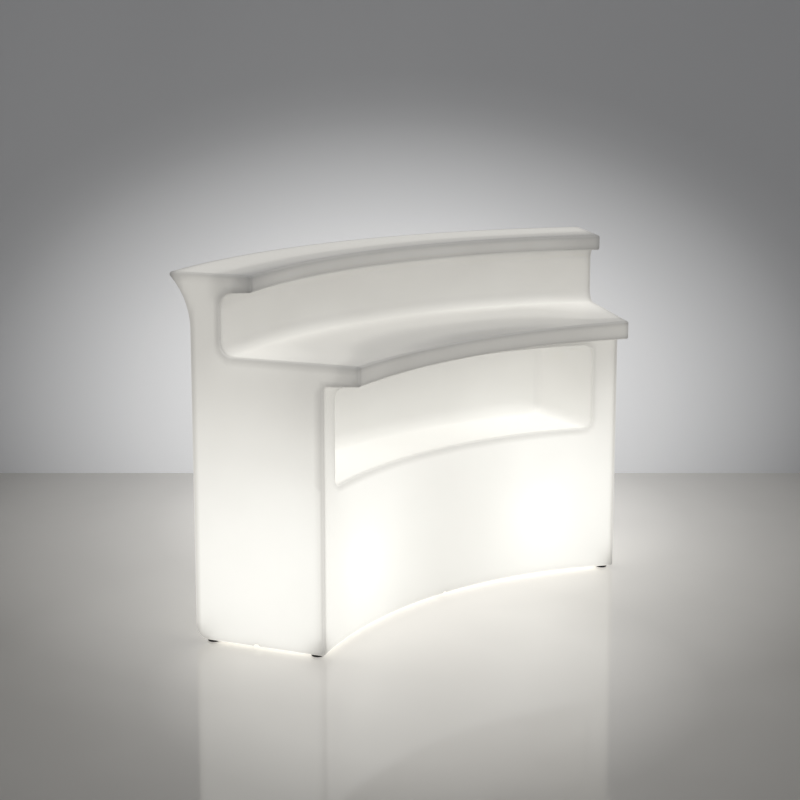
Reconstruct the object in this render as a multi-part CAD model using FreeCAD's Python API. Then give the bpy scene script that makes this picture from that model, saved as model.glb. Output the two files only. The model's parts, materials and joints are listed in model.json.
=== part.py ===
import FreeCAD, Part
import math
import os

# Curved bar counter: one hollow moulded shell, lit from inside by two lamps, on levelling feet.
# Millimetres and degrees. +Z is up, the bartender stands on the -Y side, and the origin is on the
# floor, under the middle of the counter's box. Radii with no other note are from the arc's centre.

# Overall curve and heights
segment_angle = 60.0
total_height = 1100.0
floor_gap = 10.0
wall = 6.0
inner_wall_radius = 1210.0
base_depth = 411.0

# Worktop, whose front edge is a flatter arc than the walls
worktop_overhang = 162.0
worktop_root_thickness = 66.0
worktop_front_radius = 1640.0
underside_draft = 4.5

# Guest ledge at the top: its rise above the worktop, the riser that carries it, and its flare
ledge_rise = 237.0
ledge_root_thickness = 57.0
ledge_overhang = 101.0
riser_setback = 95.0
flare_overhang = 63.0
flare_height = 165.0

# Roundings of the shell
base_outer_round = 40.0
base_inner_round = 10.0
step_round = 40.0
wall_top_round = 15.0
ledge_round = 8.0
tip_round = 8.0
edge_round = 6.5

# Niche under the worktop, with its distance from the ends along the inner wall's chord
niche_header = 30.0
niche_opening = 278.0
niche_depth = 230.0
niche_end_margin = 73.0
niche_floor_draft = 3.5
niche_ceiling_draft = 3.0
niche_back_round = 45.0
niche_side_round = 26.0
niche_mouth_round = 8.0

# Cord channels under the base
channel_setback = 215.0
channel_width = 23.0
channel_depth = 9.0

# Levelling feet
foot_end_inset = 30.0
foot_inner_inset = 35.0
foot_outer_inset = 44.0
foot_pad_radius = 18.0
foot_pad_height = 8.0
foot_pad_lip = 1.5
foot_pad_hub_radius = 12.0
foot_pad_rim_height = 5.0
stud_radius = 5.0
stud_length = 37.0
stud_seat_depth = 5.0
stud_clearance = 0.05
stud_tip_room = 1.0
insert_radius = 8.0
insert_length = 25.0
insert_flange_radius = 10.5
insert_flange_height = 2.0
insert_groove_depth = 0.8
foot_boss_radius = 19.0
foot_boss_height = 50.0
stud_well_depth = 42.0

# Lamp hatches in the underside
lamp_setback = 205.0
lamp_angle = 18.0
hatch_opening_radius = 75.0
hatch_recess_radius = 95.0
hatch_recess_depth = 8.0
hatch_thickness = 4.0
hatch_rim_gap = 1.0
hatch_spigot_height = 10.0
hatch_spigot_width = 3.0
hatch_rib_count = 6
hatch_rib_width = 2.5
hatch_rib_height = 6.0
hatch_rib_start = 56.0
hatch_screw_count = 4
gasket_thickness = 2.0
gasket_gap = 0.5

# Supply hatch in the middle, in a deeper pocket
supply_opening_radius = 50.0
supply_pocket_radius = 66.0
supply_pocket_depth = 30.0

# Hatch screws and their inserts
screw_radius = 2.4
screw_head_radius = 4.7
screw_head_depth = 2.5
screw_length = 16.0
screw_hole_radius = 2.75
screw_insert_radius = 3.5
screw_insert_length = 10.5
screw_boss_radius = 6.4
screw_boss_height = 14.0

# Lamp bracket, a bent strap
strap_thickness = 2.0
strap_width = 24.0
strap_half_span = 32.0
strap_foot_length = 20.0
strap_top_height = 118.0
strap_bend = 2.0
bolt_radius = 2.0
bolt_head_radius = 3.9
bolt_head_depth = 2.2
bolt_length = 13.0
bolt_nut_width = 7.0
bolt_nut_height = 3.2
bolt_foot_inset = 9.0

# Lamp holder and its nipple
nipple_radius = 5.0
nipple_bore = 3.4
nipple_reach = 8.0
nipple_nut_width = 14.0
nipple_nut_height = 3.0
holder_foot_radius = 13.0
holder_body_radius = 20.5
holder_skirt_radius = 19.0
holder_shoulder_height = 12.0
holder_waist_height = 30.0
holder_height = 50.0
holder_bore_radius = 13.7
holder_bore_floor = 18.0
holder_chamber_radius = 10.0
holder_seat_depth = 6.0
holder_round = 2.0

# Lamp
cap_radius = 13.2
cap_height = 26.0
cap_tip_radius = 5.0
cap_tip_height = 4.0
cap_lift = 1.0
neck_radius = 13.4
neck_length = 12.0
globe_radius = 40.0

# Junction box on the supply hatch
box_length = 70.0
box_depth = 60.0
box_height = 34.0
box_wall = 2.5
box_round = 4.0
box_lid_height = 3.0
box_post_radius = 3.6
box_screw_radius = 1.4
box_screw_head_radius = 2.6
box_screw_head_height = 1.8
box_screw_length = 12.0
box_hole_gap = 0.2
terminal_length = 40.0
terminal_width = 14.0
terminal_height = 12.0
terminal_way_count = 3
terminal_notch = 2.0
terminal_offset = 15.0

# Cord gland of the supply, under the hatch
gland_offset = 13.0
gland_body_radius = 8.0
gland_body_length = 16.0
gland_bore = 4.2
gland_flange_width = 20.0
gland_flange_height = 4.0
gland_dome_radius = 9.6
gland_dome_height = 12.0
gland_dome_round = 4.0
locknut_width = 20.0
locknut_height = 4.0

# Inner leads from the box to the lamp holders
lead_radius = 3.0
lead_exit_height = 16.0
lead_tail = 7.0
lead_lift = 2.0
grommet_radius = 6.5
grommet_lip_radius = 8.5
grommet_lip = 1.5
clip_length = 12.0
clip_width = 22.0
clip_foot_height = 2.0
clip_jaw_width = 11.0
clip_gap = 0.2
lead_arc_share = 0.45
lead_turn_share = 0.7
# Across and along in shares of the way from the box to the lamp, height in shares of the climb
lead_route_shares = [
    (0.27, -0.027, 0.17),
    (0.361, -0.077, 0),
    (0.492, -0.109, 0),
    (0.629, -0.137, 0),
    (0.715, -0.162, 0),
    (0.83, -0.2, 0.17),
    (0.924, -0.233, 0.25),
    (0.988, -0.228, 0.47),
]

# Vent plug in the underside
vent_angle = -9.0
vent_setback = 80.0
vent_bore = 9.0
vent_flange_radius = 13.0
vent_flange_height = 1.6
vent_barb = 0.6
vent_reach = 5.0
vent_wall = 1.5

# Room that cuts run past the faces they open, and play between moulded-in pieces
overrun = 20.0
play = 0.05
on_surface = 0.01

half_angle = segment_angle / 2
half_turn = math.radians(half_angle)
up = FreeCAD.Vector(0, 0, 1)

# Radii and heights that follow from the sizes above
outer_wall_radius = inner_wall_radius + base_depth
riser_radius = outer_wall_radius - riser_setback
ledge_edge_radius = riser_radius - ledge_overhang
tip_radius = outer_wall_radius + flare_overhang
neck_height = total_height - flare_height
worktop_height = total_height - ledge_rise
worktop_mid_radius = inner_wall_radius - worktop_overhang
front_arc_back = worktop_front_radius - worktop_mid_radius
niche_ceiling_height = worktop_height - worktop_root_thickness - niche_header
niche_lip_height = niche_ceiling_height - niche_opening
niche_back_radius = inner_wall_radius + niche_depth
niche_half_width = inner_wall_radius * math.sin(half_turn) - niche_end_margin
channel_radius = inner_wall_radius + channel_setback
lamp_radius = inner_wall_radius + lamp_setback
vent_place_radius = inner_wall_radius + vent_setback


def front_corner():
    """How far along the end line the rounded front corner lies, and the lowest Y it reaches."""
    across = -edge_round * math.cos(half_turn)
    along = edge_round * math.sin(half_turn) + front_arc_back
    linear = across * math.sin(half_turn) + along * math.cos(half_turn)
    reach = worktop_front_radius + edge_round
    rest = across**2 + along**2 - reach**2
    distance = math.sqrt(linear**2 - rest) - linear
    lowest = distance * math.cos(half_turn) + edge_round * math.sin(half_turn) - edge_round
    return distance, lowest


arc_back = (front_corner()[1] + tip_radius) / 2
arc_centre = FreeCAD.Vector(0, -arc_back, 0)


def at(radius, angle, height):
    """The point at that radius and height, angle degrees from the middle, + towards +X."""
    turn = math.radians(angle)
    return FreeCAD.Vector(radius * math.sin(turn), radius * math.cos(turn) - arc_back, height)


def on_end(radius, height):
    return at(radius, half_angle, height)


def flat(across, height):
    return FreeCAD.Vector(across, 0, height)


def rounded_path(corners):
    """Edges from the first point to the last, with each (point, radius) between them rounded."""
    edges = []
    start = corners[0][0]
    for before, (point, radius), after in zip(corners, corners[1:], corners[2:]):
        end = point
        if radius > 0:
            back = (before[0] - point).normalize()
            ahead = (after[0] - point).normalize()
            opening = back.getAngle(ahead) / 2
            inward = (back + ahead).normalize()
            centre = point + inward * (radius / math.sin(opening))
            reach = radius / math.tan(opening)
            end = point + back * reach
        edges.append(Part.makeLine(start, end))
        start = end
        if radius > 0:
            start = point + ahead * reach
            edges.append(Part.Arc(end, centre - inward * radius, start).toShape())
    edges.append(Part.makeLine(start, corners[-1][0]))
    return edges


def rounded_face(corners):
    """A face round the closed outline of (point, radius) corners."""
    middle = (corners[-1][0] + corners[0][0]) / 2
    loop = [(middle, 0)] + corners + [(middle, 0)]
    return Part.Face(Part.Wire(rounded_path(loop)))


def turned(corners):
    """A solid turned about the local Z axis from (radius, height, rounding) corners."""
    face = rounded_face([(flat(r, z), rounding) for r, z, rounding in corners])
    return face.revolve(FreeCAD.Vector(), up, 360)


def peg(radius, bottom, top):
    return Part.makeCylinder(radius, top - bottom, FreeCAD.Vector(0, 0, bottom))


def tube(outer, inner, bottom, top):
    return peg(outer, bottom, top).cut(peg(inner, bottom - overrun, top + overrun))


def block(length, width, bottom, top):
    corner = FreeCAD.Vector(-length / 2, -width / 2, bottom)
    return Part.makeBox(length, width, top - bottom, corner)


def hexagon(width, bottom, top):
    """A hexagonal prism of that width across its flats."""
    reach = width / math.sqrt(3)
    angles = [math.radians(60 * side) for side in range(7)]
    points = [FreeCAD.Vector(reach * math.cos(a), reach * math.sin(a), bottom) for a in angles]
    return Part.Face(Part.makePolygon(points)).extrude(up * (top - bottom))


def moved(shape, across, along, height=0):
    copy = shape.copy()
    copy.translate(FreeCAD.Vector(across, along, height))
    return copy


def turned_by(shape, angle):
    copy = shape.copy()
    copy.rotate(FreeCAD.Vector(), up, angle)
    return copy


def stood(shape, radius, angle):
    """A locally modelled shape, stood at that place on the arc and facing its centre."""
    copy = turned_by(shape, -angle)
    copy.translate(at(radius, angle, 0))
    return copy


def ringed(shape, circle, count):
    """That many copies of a shape on a circle, starting between the local axes."""
    first = 180 / count
    return [turned_by(moved(shape, circle, 0), first + 360 * n / count) for n in range(count)]


def samples(edge):
    first, last = edge.FirstParameter, edge.LastParameter
    return [edge.valueAt(first + (last - first) * step / 4) for step in range(5)]


def distance_from(point, back):
    return math.hypot(point.x, point.y + back)


# Heights that several pieces share
cavity_floor = floor_gap + wall
hatch_ceiling = floor_gap + hatch_recess_depth
hatch_top = hatch_ceiling - gasket_thickness
hatch_bottom = hatch_top - hatch_thickness
supply_ceiling = floor_gap + supply_pocket_depth
supply_top = supply_ceiling - gasket_thickness
supply_bottom = supply_top - hatch_thickness
underside_slope = math.tan(math.radians(underside_draft))


# The shell

def body_section():
    """The moulded body's section at an end face, with the worktop run on past its front edge."""
    run_on = worktop_mid_radius - overrun
    worktop_under = worktop_height - worktop_root_thickness
    worktop_run_on = worktop_under + (inner_wall_radius - run_on) * underside_slope
    ledge_under = total_height - ledge_root_thickness
    ledge_edge_under = ledge_under + (riser_radius - ledge_edge_radius) * underside_slope
    tip_centre = tip_radius - tip_round
    tip_level = total_height - tip_round
    corners = [
        (on_end(outer_wall_radius, neck_height), 0),
        (on_end(outer_wall_radius, floor_gap), base_outer_round),
        (on_end(inner_wall_radius, floor_gap), base_inner_round),
        (on_end(inner_wall_radius, worktop_under), wall_top_round),
        (on_end(run_on, worktop_run_on), 0),
        (on_end(run_on, worktop_height), 0),
        (on_end(riser_radius, worktop_height), step_round),
        (on_end(riser_radius, ledge_under), step_round),
        (on_end(ledge_edge_radius, ledge_edge_under), ledge_round),
        (on_end(ledge_edge_radius, total_height), ledge_round),
        (on_end(tip_centre, total_height), 0),
    ]
    path = rounded_path(corners)
    # The flare is one arc, tangent to the outer wall at the neck and to the tip's own rounding
    reach = tip_radius - outer_wall_radius
    rise = tip_level - neck_height
    flare = ((reach - tip_round) ** 2 + rise**2 - tip_round**2) / (2 * reach)
    flare_centre = outer_wall_radius + flare
    slope = math.atan2(rise, flare_centre - tip_centre)

    def on_tip(turn):
        across = tip_centre + tip_round * math.cos(turn)
        return on_end(across, tip_level + tip_round * math.sin(turn))

    def on_flare(turn):
        return on_end(flare_centre - flare * math.cos(turn), neck_height + flare * math.sin(turn))

    quarter = math.pi / 2
    tip = Part.Arc(on_tip(quarter), on_tip((quarter - slope) / 2), on_tip(-slope))
    cove = Part.Arc(on_flare(slope), on_flare(slope / 2), on_flare(0))
    return Part.Face(Part.Wire(path + [tip.toShape(), cove.toShape()]))


def wedge(inset):
    """The space between the two end planes, drawn in by inset."""
    apex = inset / math.sin(half_turn) - arc_back
    far = tip_radius * 2
    side = far * math.sin(half_turn)
    end = apex + far * math.cos(half_turn)
    plan = [(0, apex), (side, end), (-side, end), (0, apex)]
    points = [FreeCAD.Vector(x, y, -overrun) for x, y in plan]
    return Part.Face(Part.makePolygon(points)).extrude(up * (total_height + 2 * overrun))


def moulded_form(inset):
    """The body's solid form, with all its faces drawn in by inset."""
    section = body_section()
    if inset > 0:
        section = section.makeOffset2D(-inset)
    ring = section.revolve(arc_centre, up, segment_angle)
    place = FreeCAD.Vector(0, -front_arc_back - arc_back, -overrun)
    height = total_height + 2 * overrun
    form = ring.cut(Part.makeCylinder(worktop_front_radius + inset, height, place))
    if inset > 0:
        form = form.common(wedge(inset))
    return form.Solids[0]


def niche_form(grow):
    """The space of the niche, from in front of the inner wall to its rounded back."""
    mouth = inner_wall_radius - wall_top_round - overrun
    back = niche_back_radius + grow
    floor_slope = math.tan(math.radians(niche_floor_draft))
    ceiling_slope = math.tan(math.radians(niche_ceiling_draft))
    lip = niche_lip_height - grow
    ceiling = niche_ceiling_height + grow
    corners = [
        (on_end(mouth, lip + (mouth - inner_wall_radius) * floor_slope), 0),
        (on_end(back, lip + (back - inner_wall_radius) * floor_slope), niche_back_round + grow),
        (on_end(back, ceiling - (back - inner_wall_radius) * ceiling_slope), niche_back_round + grow),
        (on_end(mouth, ceiling - (mouth - inner_wall_radius) * ceiling_slope), 0),
    ]
    ring = rounded_face(corners).revolve(arc_centre, up, segment_angle)
    half_width = niche_half_width + grow
    side = Part.makeBox(
        2 * half_width, niche_back_radius * 2, total_height, arc_centre - FreeCAD.Vector(half_width, 0, 0)
    )
    form = ring.common(side).Solids[0]
    creases = [
        edge
        for edge in form.Edges
        if all(abs(abs(p.x) - half_width) < on_surface for p in samples(edge))
        and any(distance_from(p, arc_back) > mouth + on_surface for p in samples(edge))
    ]
    return form.makeFillet(niche_side_round + grow, creases)


def rounded_loop(body, loop, radius):
    """The body with one closed loop of edges rounded, from the first start that it closes from."""
    for start in loop:
        try:
            return body.makeFillet(radius, [start])
        except Part.OCCError:
            continue
    return body.makeFillet(radius, loop)


def softened(body):
    """The body with its niche mouth, end faces and worktop front rounded as a mould leaves them."""
    niche_top = worktop_height - worktop_root_thickness - on_surface
    mouth = [
        edge
        for edge in body.Edges
        if all(
            abs(distance_from(p, arc_back) - inner_wall_radius) < on_surface
            and abs(p.x) < niche_half_width + on_surface
            and niche_lip_height - niche_side_round < p.z < niche_top - wall_top_round
            for p in samples(edge)
        )
    ]
    body = rounded_loop(body, mouth, niche_mouth_round)

    def on_end_face(point):
        across = abs(point.x) * math.cos(half_turn) - (point.y + arc_back) * math.sin(half_turn)
        return abs(across) < on_surface

    def on_front(edge):
        back = arc_back + front_arc_back
        reach = [distance_from(p, back) for p in samples(edge)]
        return all(abs(r - worktop_front_radius) < on_surface for r in reach)

    rims = [edge for edge in body.Edges if all(on_end_face(p) for p in samples(edge)) or on_front(edge)]
    return body.makeFillet(edge_round, rims)


def channel_section(grow):
    """Half-round section of a cord channel, in the plane of an end face."""
    side = channel_width / 2 + grow
    top = floor_gap + channel_depth + grow
    level = floor_gap
    crown = Part.Arc(
        on_end(channel_radius + side, level),
        on_end(channel_radius, top),
        on_end(channel_radius - side, level),
    ).toShape()
    low = -overrun
    sides = [
        on_end(channel_radius - side, level),
        on_end(channel_radius - side, low),
        on_end(channel_radius + side, low),
        on_end(channel_radius + side, level),
    ]
    return Part.Face(Part.Wire([crown] + Part.makePolygon(sides).Edges))


def channels(grow):
    """The cord channel from end to end under the base, and the one to the inner wall's middle."""
    along = channel_section(grow).revolve(arc_centre, up, segment_angle)
    across = channel_section(grow)
    across.rotate(arc_centre, up, half_angle)
    across.translate(FreeCAD.Vector(0, -channel_radius, 0))
    across.rotate(FreeCAD.Vector(0, -arc_back, 0), up, 90)
    run = channel_radius - inner_wall_radius + overrun
    across.translate(FreeCAD.Vector(0, channel_radius - run, 0))
    return [along, across.extrude(FreeCAD.Vector(0, run, 0))]


def lamp_places():
    return [("left", -lamp_angle), ("right", lamp_angle)]


def hatch_recesses(grow):
    top = hatch_ceiling + grow
    lamp = peg(hatch_recess_radius + grow, -overrun, top)
    recesses = [stood(lamp, lamp_radius, angle) for _, angle in lamp_places()]
    supply = peg(supply_pocket_radius + grow, -overrun, supply_ceiling + grow)
    return recesses + [stood(supply, lamp_radius, 0)]


def screw_circles():
    """Place, screw circle and ceiling height of each hatch."""
    lamp_circle = (hatch_opening_radius + hatch_recess_radius) / 2
    supply_circle = (supply_opening_radius + supply_pocket_radius) / 2
    lamps = [(angle, lamp_circle, hatch_ceiling) for _, angle in lamp_places()]
    return lamps + [(0, supply_circle, supply_ceiling)]


def at_screws(shape, angle, circle, height):
    """A locally modelled shape at each screw of one hatch."""
    raised = moved(shape, 0, 0, height)
    return [stood(one, lamp_radius, angle) for one in ringed(raised, circle, hatch_screw_count)]


def foot_places():
    """Name, radius and angle of each foot: two at each end and one in the middle at the back."""
    inner = inner_wall_radius + foot_inner_inset
    outer = outer_wall_radius - foot_outer_inset
    places = []
    for side, sign in (("left", -1), ("right", 1)):
        for name, radius in (("inner", inner), ("outer", outer)):
            angle = half_angle - math.degrees(math.asin(foot_end_inset / radius))
            places.append((name + "_" + side, radius, sign * angle))
    return places + [("outer_middle", outer, 0)]


def raised_ground():
    """What stands up into the cavity: channels, recesses and bosses, each with its wall."""
    pieces = channels(wall) + hatch_recesses(wall)
    boss = peg(foot_boss_radius, -overrun, floor_gap + foot_boss_height)
    pieces += [stood(boss, radius, angle) for _, radius, angle in foot_places()]
    screw_boss = peg(screw_boss_radius, 0, screw_boss_height)
    for place in screw_circles():
        pieces += at_screws(screw_boss, *place)
    return pieces


def openings():
    """Holes through the floor of the shell, and the seats of its moulded-in inserts."""
    lamp = peg(hatch_opening_radius, 0, hatch_ceiling + 2 * wall)
    holes = [stood(lamp, lamp_radius, angle) for _, angle in lamp_places()]
    supply = peg(supply_opening_radius, 0, supply_ceiling + 2 * wall)
    holes.append(stood(supply, lamp_radius, 0))
    vent = peg(vent_bore, 0, cavity_floor + overrun)
    holes.append(stood(vent, vent_place_radius, vent_angle))
    seat = peg(insert_radius + play, 0, floor_gap + insert_length)
    flange = peg(insert_flange_radius + play, 0, floor_gap + insert_flange_height)
    well = peg(stud_radius + stud_tip_room, 0, floor_gap + stud_well_depth)
    foot_seat = seat.fuse([flange, well])
    holes += [stood(foot_seat, radius, angle) for _, radius, angle in foot_places()]
    screw_seat = peg(screw_insert_radius + play, -wall / 2, screw_insert_length)
    for place in screw_circles():
        holes += at_screws(screw_seat, *place)
    return holes


def counter_shell():
    body = softened(moulded_form(0).cut(niche_form(0)).Solids[0])
    cavity = moulded_form(wall).cut([niche_form(wall)] + raised_ground())
    body = body.cut(cavity)
    return body.cut(channels(0) + hatch_recesses(0) + openings())


# Feet

def foot_stud():
    bottom = foot_pad_height - stud_seat_depth
    top = bottom + stud_length
    return turned(
        [
            (0, bottom, 0),
            (stud_radius, bottom, 0),
            (stud_radius, top - stud_tip_room, 0),
            (stud_radius - stud_tip_room, top, 0),
            (0, top, 0),
        ]
    )


def foot_pad():
    pad = turned(
        [
            (0, 0, 0),
            (foot_pad_radius - foot_pad_lip, 0, 0),
            (foot_pad_radius, foot_pad_lip, 0),
            (foot_pad_radius, foot_pad_rim_height, foot_pad_lip),
            (foot_pad_hub_radius, foot_pad_height, foot_pad_lip),
            (0, foot_pad_height, 0),
        ]
    )
    seat = peg(stud_radius, foot_pad_height - stud_seat_depth, foot_pad_height + overrun)
    return pad.cut(seat)


def foot_inserts():
    bore = stud_radius + stud_clearance
    top = floor_gap + insert_length
    shoulder = floor_gap + insert_flange_height
    groove = shoulder + (top - shoulder) / 3
    groove_end = shoulder + (top - shoulder) * 2 / 3
    waist = insert_radius - insert_groove_depth
    insert = turned(
        [
            (bore, floor_gap, 0),
            (insert_flange_radius, floor_gap, 0),
            (insert_flange_radius, shoulder, 0),
            (insert_radius, shoulder, 0),
            (insert_radius, groove, 0),
            (waist, groove + insert_groove_depth, 0),
            (waist, groove_end - insert_groove_depth, 0),
            (insert_radius, groove_end, 0),
            (insert_radius, top, 0),
            (bore, top, 0),
        ]
    )
    return [stood(insert, radius, angle) for _, radius, angle in foot_places()]


# Hatches

def countersunk(radius, head_radius, head_depth, length):
    """A countersunk screw, pointing up, with its head's face at height 0."""
    return turned(
        [
            (0, 0, 0),
            (head_radius, 0, 0),
            (radius, head_depth, 0),
            (radius, length - radius, 0),
            (radius / 2, length, 0),
            (0, length, 0),
        ]
    )


def countersink(hole, head_radius, head_depth, through):
    cone = Part.makeCone(head_radius + play, hole, head_depth)
    return cone.fuse(peg(hole, 0, through))


def hatch_plate(recess, ceiling_gap, circle):
    """A round cover plate at its height, with countersunk holes for its screws."""
    plate = peg(recess - hatch_rim_gap, ceiling_gap, ceiling_gap + hatch_thickness)
    sink = countersink(screw_hole_radius, screw_head_radius, screw_head_depth, hatch_thickness + overrun)
    holes = ringed(moved(sink, 0, 0, ceiling_gap), circle, hatch_screw_count)
    return plate.cut(holes)


def strap_bolt_reach():
    return strap_half_span + strap_foot_length - bolt_foot_inset


def lamp_hatch():
    circle = screw_circles()[0][1]
    plate = hatch_plate(hatch_recess_radius, hatch_bottom, circle)
    spigot = hatch_opening_radius - hatch_rim_gap
    rim = tube(spigot, spigot - hatch_spigot_width, hatch_top - play, hatch_top + hatch_spigot_height)
    length = spigot - hatch_spigot_width / 2 - hatch_rib_start
    rib = block(length, hatch_rib_width, hatch_top - play, hatch_top + hatch_rib_height)
    ribs = ringed(rib, hatch_rib_start + length / 2, hatch_rib_count)
    plate = plate.fuse([rim] + ribs).removeSplitter()
    sink = countersink(bolt_radius + play, bolt_head_radius, bolt_head_depth, hatch_thickness + overrun)
    reach = strap_bolt_reach()
    return plate.cut([moved(sink, side * reach, 0, hatch_bottom) for side in (-1, 1)])


def gasket(opening, recess, circle, top):
    ring = tube(recess - hatch_rim_gap, opening + gasket_gap, top - gasket_thickness, top)
    hole = peg(screw_hole_radius, 0, top + overrun)
    return ring.cut(ringed(hole, circle, hatch_screw_count))


def supply_hatch():
    plate = hatch_plate(supply_pocket_radius, supply_bottom, screw_circles()[-1][1])
    return plate.cut(moved(peg(gland_body_radius + play, 0, supply_top + overrun), 0, -gland_offset))


def hatch_screws():
    screw = countersunk(screw_radius, screw_head_radius, screw_head_depth, screw_length)
    drop = gasket_thickness + hatch_thickness
    screws = []
    for angle, circle, ceiling in screw_circles():
        screws += at_screws(screw, angle, circle, ceiling - drop)
    return screws


def hatch_inserts():
    sleeve = tube(screw_insert_radius, screw_radius + play, 0, screw_insert_length)
    sleeves = []
    for place in screw_circles():
        sleeves += at_screws(sleeve, *place)
    return sleeves


# Lamps, each on its hatch

def lamp_bracket():
    inner = strap_half_span - strap_thickness
    toe = strap_half_span + strap_foot_length
    foot = hatch_top + strap_thickness
    under = strap_top_height - strap_thickness
    bend = strap_bend + strap_thickness
    half = [
        (toe, foot, 0),
        (toe, hatch_top, 0),
        (inner, hatch_top, bend),
        (inner, under, strap_bend),
    ]
    outer = [(strap_half_span, strap_top_height, bend), (strap_half_span, foot, strap_bend)]
    right = outer + half
    left = [(-across, height, rounding) for across, height, rounding in reversed(right)]
    face = rounded_face([(flat(x, z), rounding) for x, z, rounding in right + left])
    strap = moved(face.extrude(FreeCAD.Vector(0, strap_width, 0)), 0, -strap_width / 2)
    holes = [peg(nipple_radius + play, under - overrun, strap_top_height + overrun)]
    bolt_hole = peg(bolt_radius + play, 0, foot + overrun)
    holes += [moved(bolt_hole, side * strap_bolt_reach(), 0) for side in (-1, 1)]
    return strap.cut(holes)


def bracket_bolts():
    bolt = countersunk(bolt_radius, bolt_head_radius, bolt_head_depth, bolt_length)
    bolts = [moved(bolt, side * strap_bolt_reach(), 0, hatch_bottom) for side in (-1, 1)]
    return [stood(one, lamp_radius, angle) for _, angle in lamp_places() for one in bolts]


def bracket_nuts():
    seat = hatch_top + strap_thickness
    nut = hexagon(bolt_nut_width, seat, seat + bolt_nut_height)
    nut = nut.cut(peg(bolt_radius + play, 0, seat + overrun))
    nuts = [moved(nut, side * strap_bolt_reach(), 0) for side in (-1, 1)]
    return [stood(one, lamp_radius, angle) for _, angle in lamp_places() for one in nuts]


def holder_nipples():
    bottom = strap_top_height - strap_thickness - nipple_reach
    nipple = tube(nipple_radius, nipple_bore, bottom, strap_top_height + holder_seat_depth)
    return [stood(nipple, lamp_radius, angle) for _, angle in lamp_places()]


def nipple_nuts():
    seat = strap_top_height - strap_thickness
    nut = hexagon(nipple_nut_width, seat - nipple_nut_height, seat)
    nut = nut.cut(peg(nipple_radius + play, 0, seat + overrun))
    return [stood(nut, lamp_radius, angle) for _, angle in lamp_places()]


def lamp_holder():
    foot = strap_top_height
    top = foot + holder_height
    waist = foot + holder_waist_height
    return turned(
        [
            (nipple_radius + play, foot, 0),
            (holder_foot_radius, foot, holder_round),
            (holder_body_radius, foot + holder_shoulder_height, holder_round),
            (holder_body_radius, waist, holder_round / 2),
            (holder_skirt_radius, waist + holder_round, holder_round / 2),
            (holder_skirt_radius, top, holder_round),
            (holder_bore_radius, top, 0),
            (holder_bore_radius, foot + holder_bore_floor, 0),
            (holder_chamber_radius, foot + holder_bore_floor, 0),
            (holder_chamber_radius, foot + holder_seat_depth, 0),
            (nipple_radius + play, foot + holder_seat_depth, 0),
        ]
    )


def cap_bottom():
    return strap_top_height + holder_bore_floor + cap_lift


def lamp_cap():
    bottom = cap_bottom()
    return turned(
        [
            (0, bottom, 0),
            (cap_tip_radius, bottom, 0),
            (cap_radius, bottom + cap_tip_height, 0),
            (cap_radius, bottom + cap_height, 0),
            (0, bottom + cap_height, 0),
        ]
    )


def lamp_globe():
    """The lamp's envelope: a neck that sweeps out into a ball."""
    bottom = cap_bottom() + cap_height
    centre = bottom + neck_length + globe_radius
    neck_top = bottom + neck_length / 2
    # The sweep is an arc tangent to the neck and to the ball
    reach = centre - neck_top
    sweep = (neck_radius**2 + reach**2 - globe_radius**2) / (2 * (globe_radius - neck_radius))
    slope = math.asin(reach / (globe_radius + sweep))
    out = neck_radius + sweep

    def on_sweep(turn):
        return flat(out - sweep * math.cos(turn), neck_top + sweep * math.sin(turn))

    touch = flat(globe_radius * math.cos(slope), centre - globe_radius * math.sin(slope))
    equator = flat(globe_radius, centre)
    crown = flat(0, centre + globe_radius)
    path = [
        Part.makeLine(flat(0, bottom), flat(neck_radius, bottom)),
        Part.makeLine(flat(neck_radius, bottom), flat(neck_radius, neck_top)),
        Part.Arc(flat(neck_radius, neck_top), on_sweep(slope / 2), touch).toShape(),
        Part.Arc(touch, equator, crown).toShape(),
        Part.makeLine(crown, flat(0, bottom)),
    ]
    return Part.Face(Part.Wire(path)).revolve(FreeCAD.Vector(), up, 360)


# Junction box and supply gland, on the supply hatch

def box_posts():
    """Places of the lid's screw posts, in the corners of the box."""
    across = box_length / 2 - box_wall - box_post_radius / 2
    along = box_depth / 2 - box_wall - box_post_radius / 2
    return [(x * across, y * along) for x in (-1, 1) for y in (-1, 1)]


def rounded_block(length, width, bottom, top):
    solid = block(length, width, bottom, top)
    uprights = [e for e in solid.Edges if abs(e.tangentAt(e.FirstParameter).z) > 1 - on_surface]
    return solid.makeFillet(box_round, uprights)


def junction_box():
    top = supply_top + box_height
    case = rounded_block(box_length, box_depth, supply_top, top)
    inner = block(box_length - 2 * box_wall, box_depth - 2 * box_wall, supply_top + box_wall, top + overrun)
    posts = [moved(peg(box_post_radius, supply_top + box_wall, top), x, y) for x, y in box_posts()]
    case = case.cut(inner.cut(posts))
    hole = peg(box_screw_radius + play, top - box_screw_length, top + overrun)
    holes = [moved(hole, x, y) for x, y in box_posts()]
    holes.append(moved(peg(gland_body_radius + play, 0, supply_top + overrun), 0, -gland_offset))
    side = Part.makeCylinder(
        grommet_radius,
        box_length + 2 * overrun,
        FreeCAD.Vector(-box_length / 2 - overrun, 0, supply_top + lead_exit_height),
        FreeCAD.Vector(1, 0, 0),
    )
    return case.cut(holes + [side])


def junction_lid():
    seat = supply_top + box_height
    lid = rounded_block(box_length, box_depth, seat, seat + box_lid_height)
    hole = peg(box_screw_radius + box_hole_gap, 0, seat + overrun)
    return lid.cut([moved(hole, x, y) for x, y in box_posts()])


def junction_screws():
    seat = supply_top + box_height + box_lid_height
    shank = peg(box_screw_radius, seat - box_screw_length, seat)
    head = peg(box_screw_head_radius, seat, seat + box_screw_head_height)
    screw = shank.fuse(head).removeSplitter()
    return [moved(screw, x, y) for x, y in box_posts()]


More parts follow.
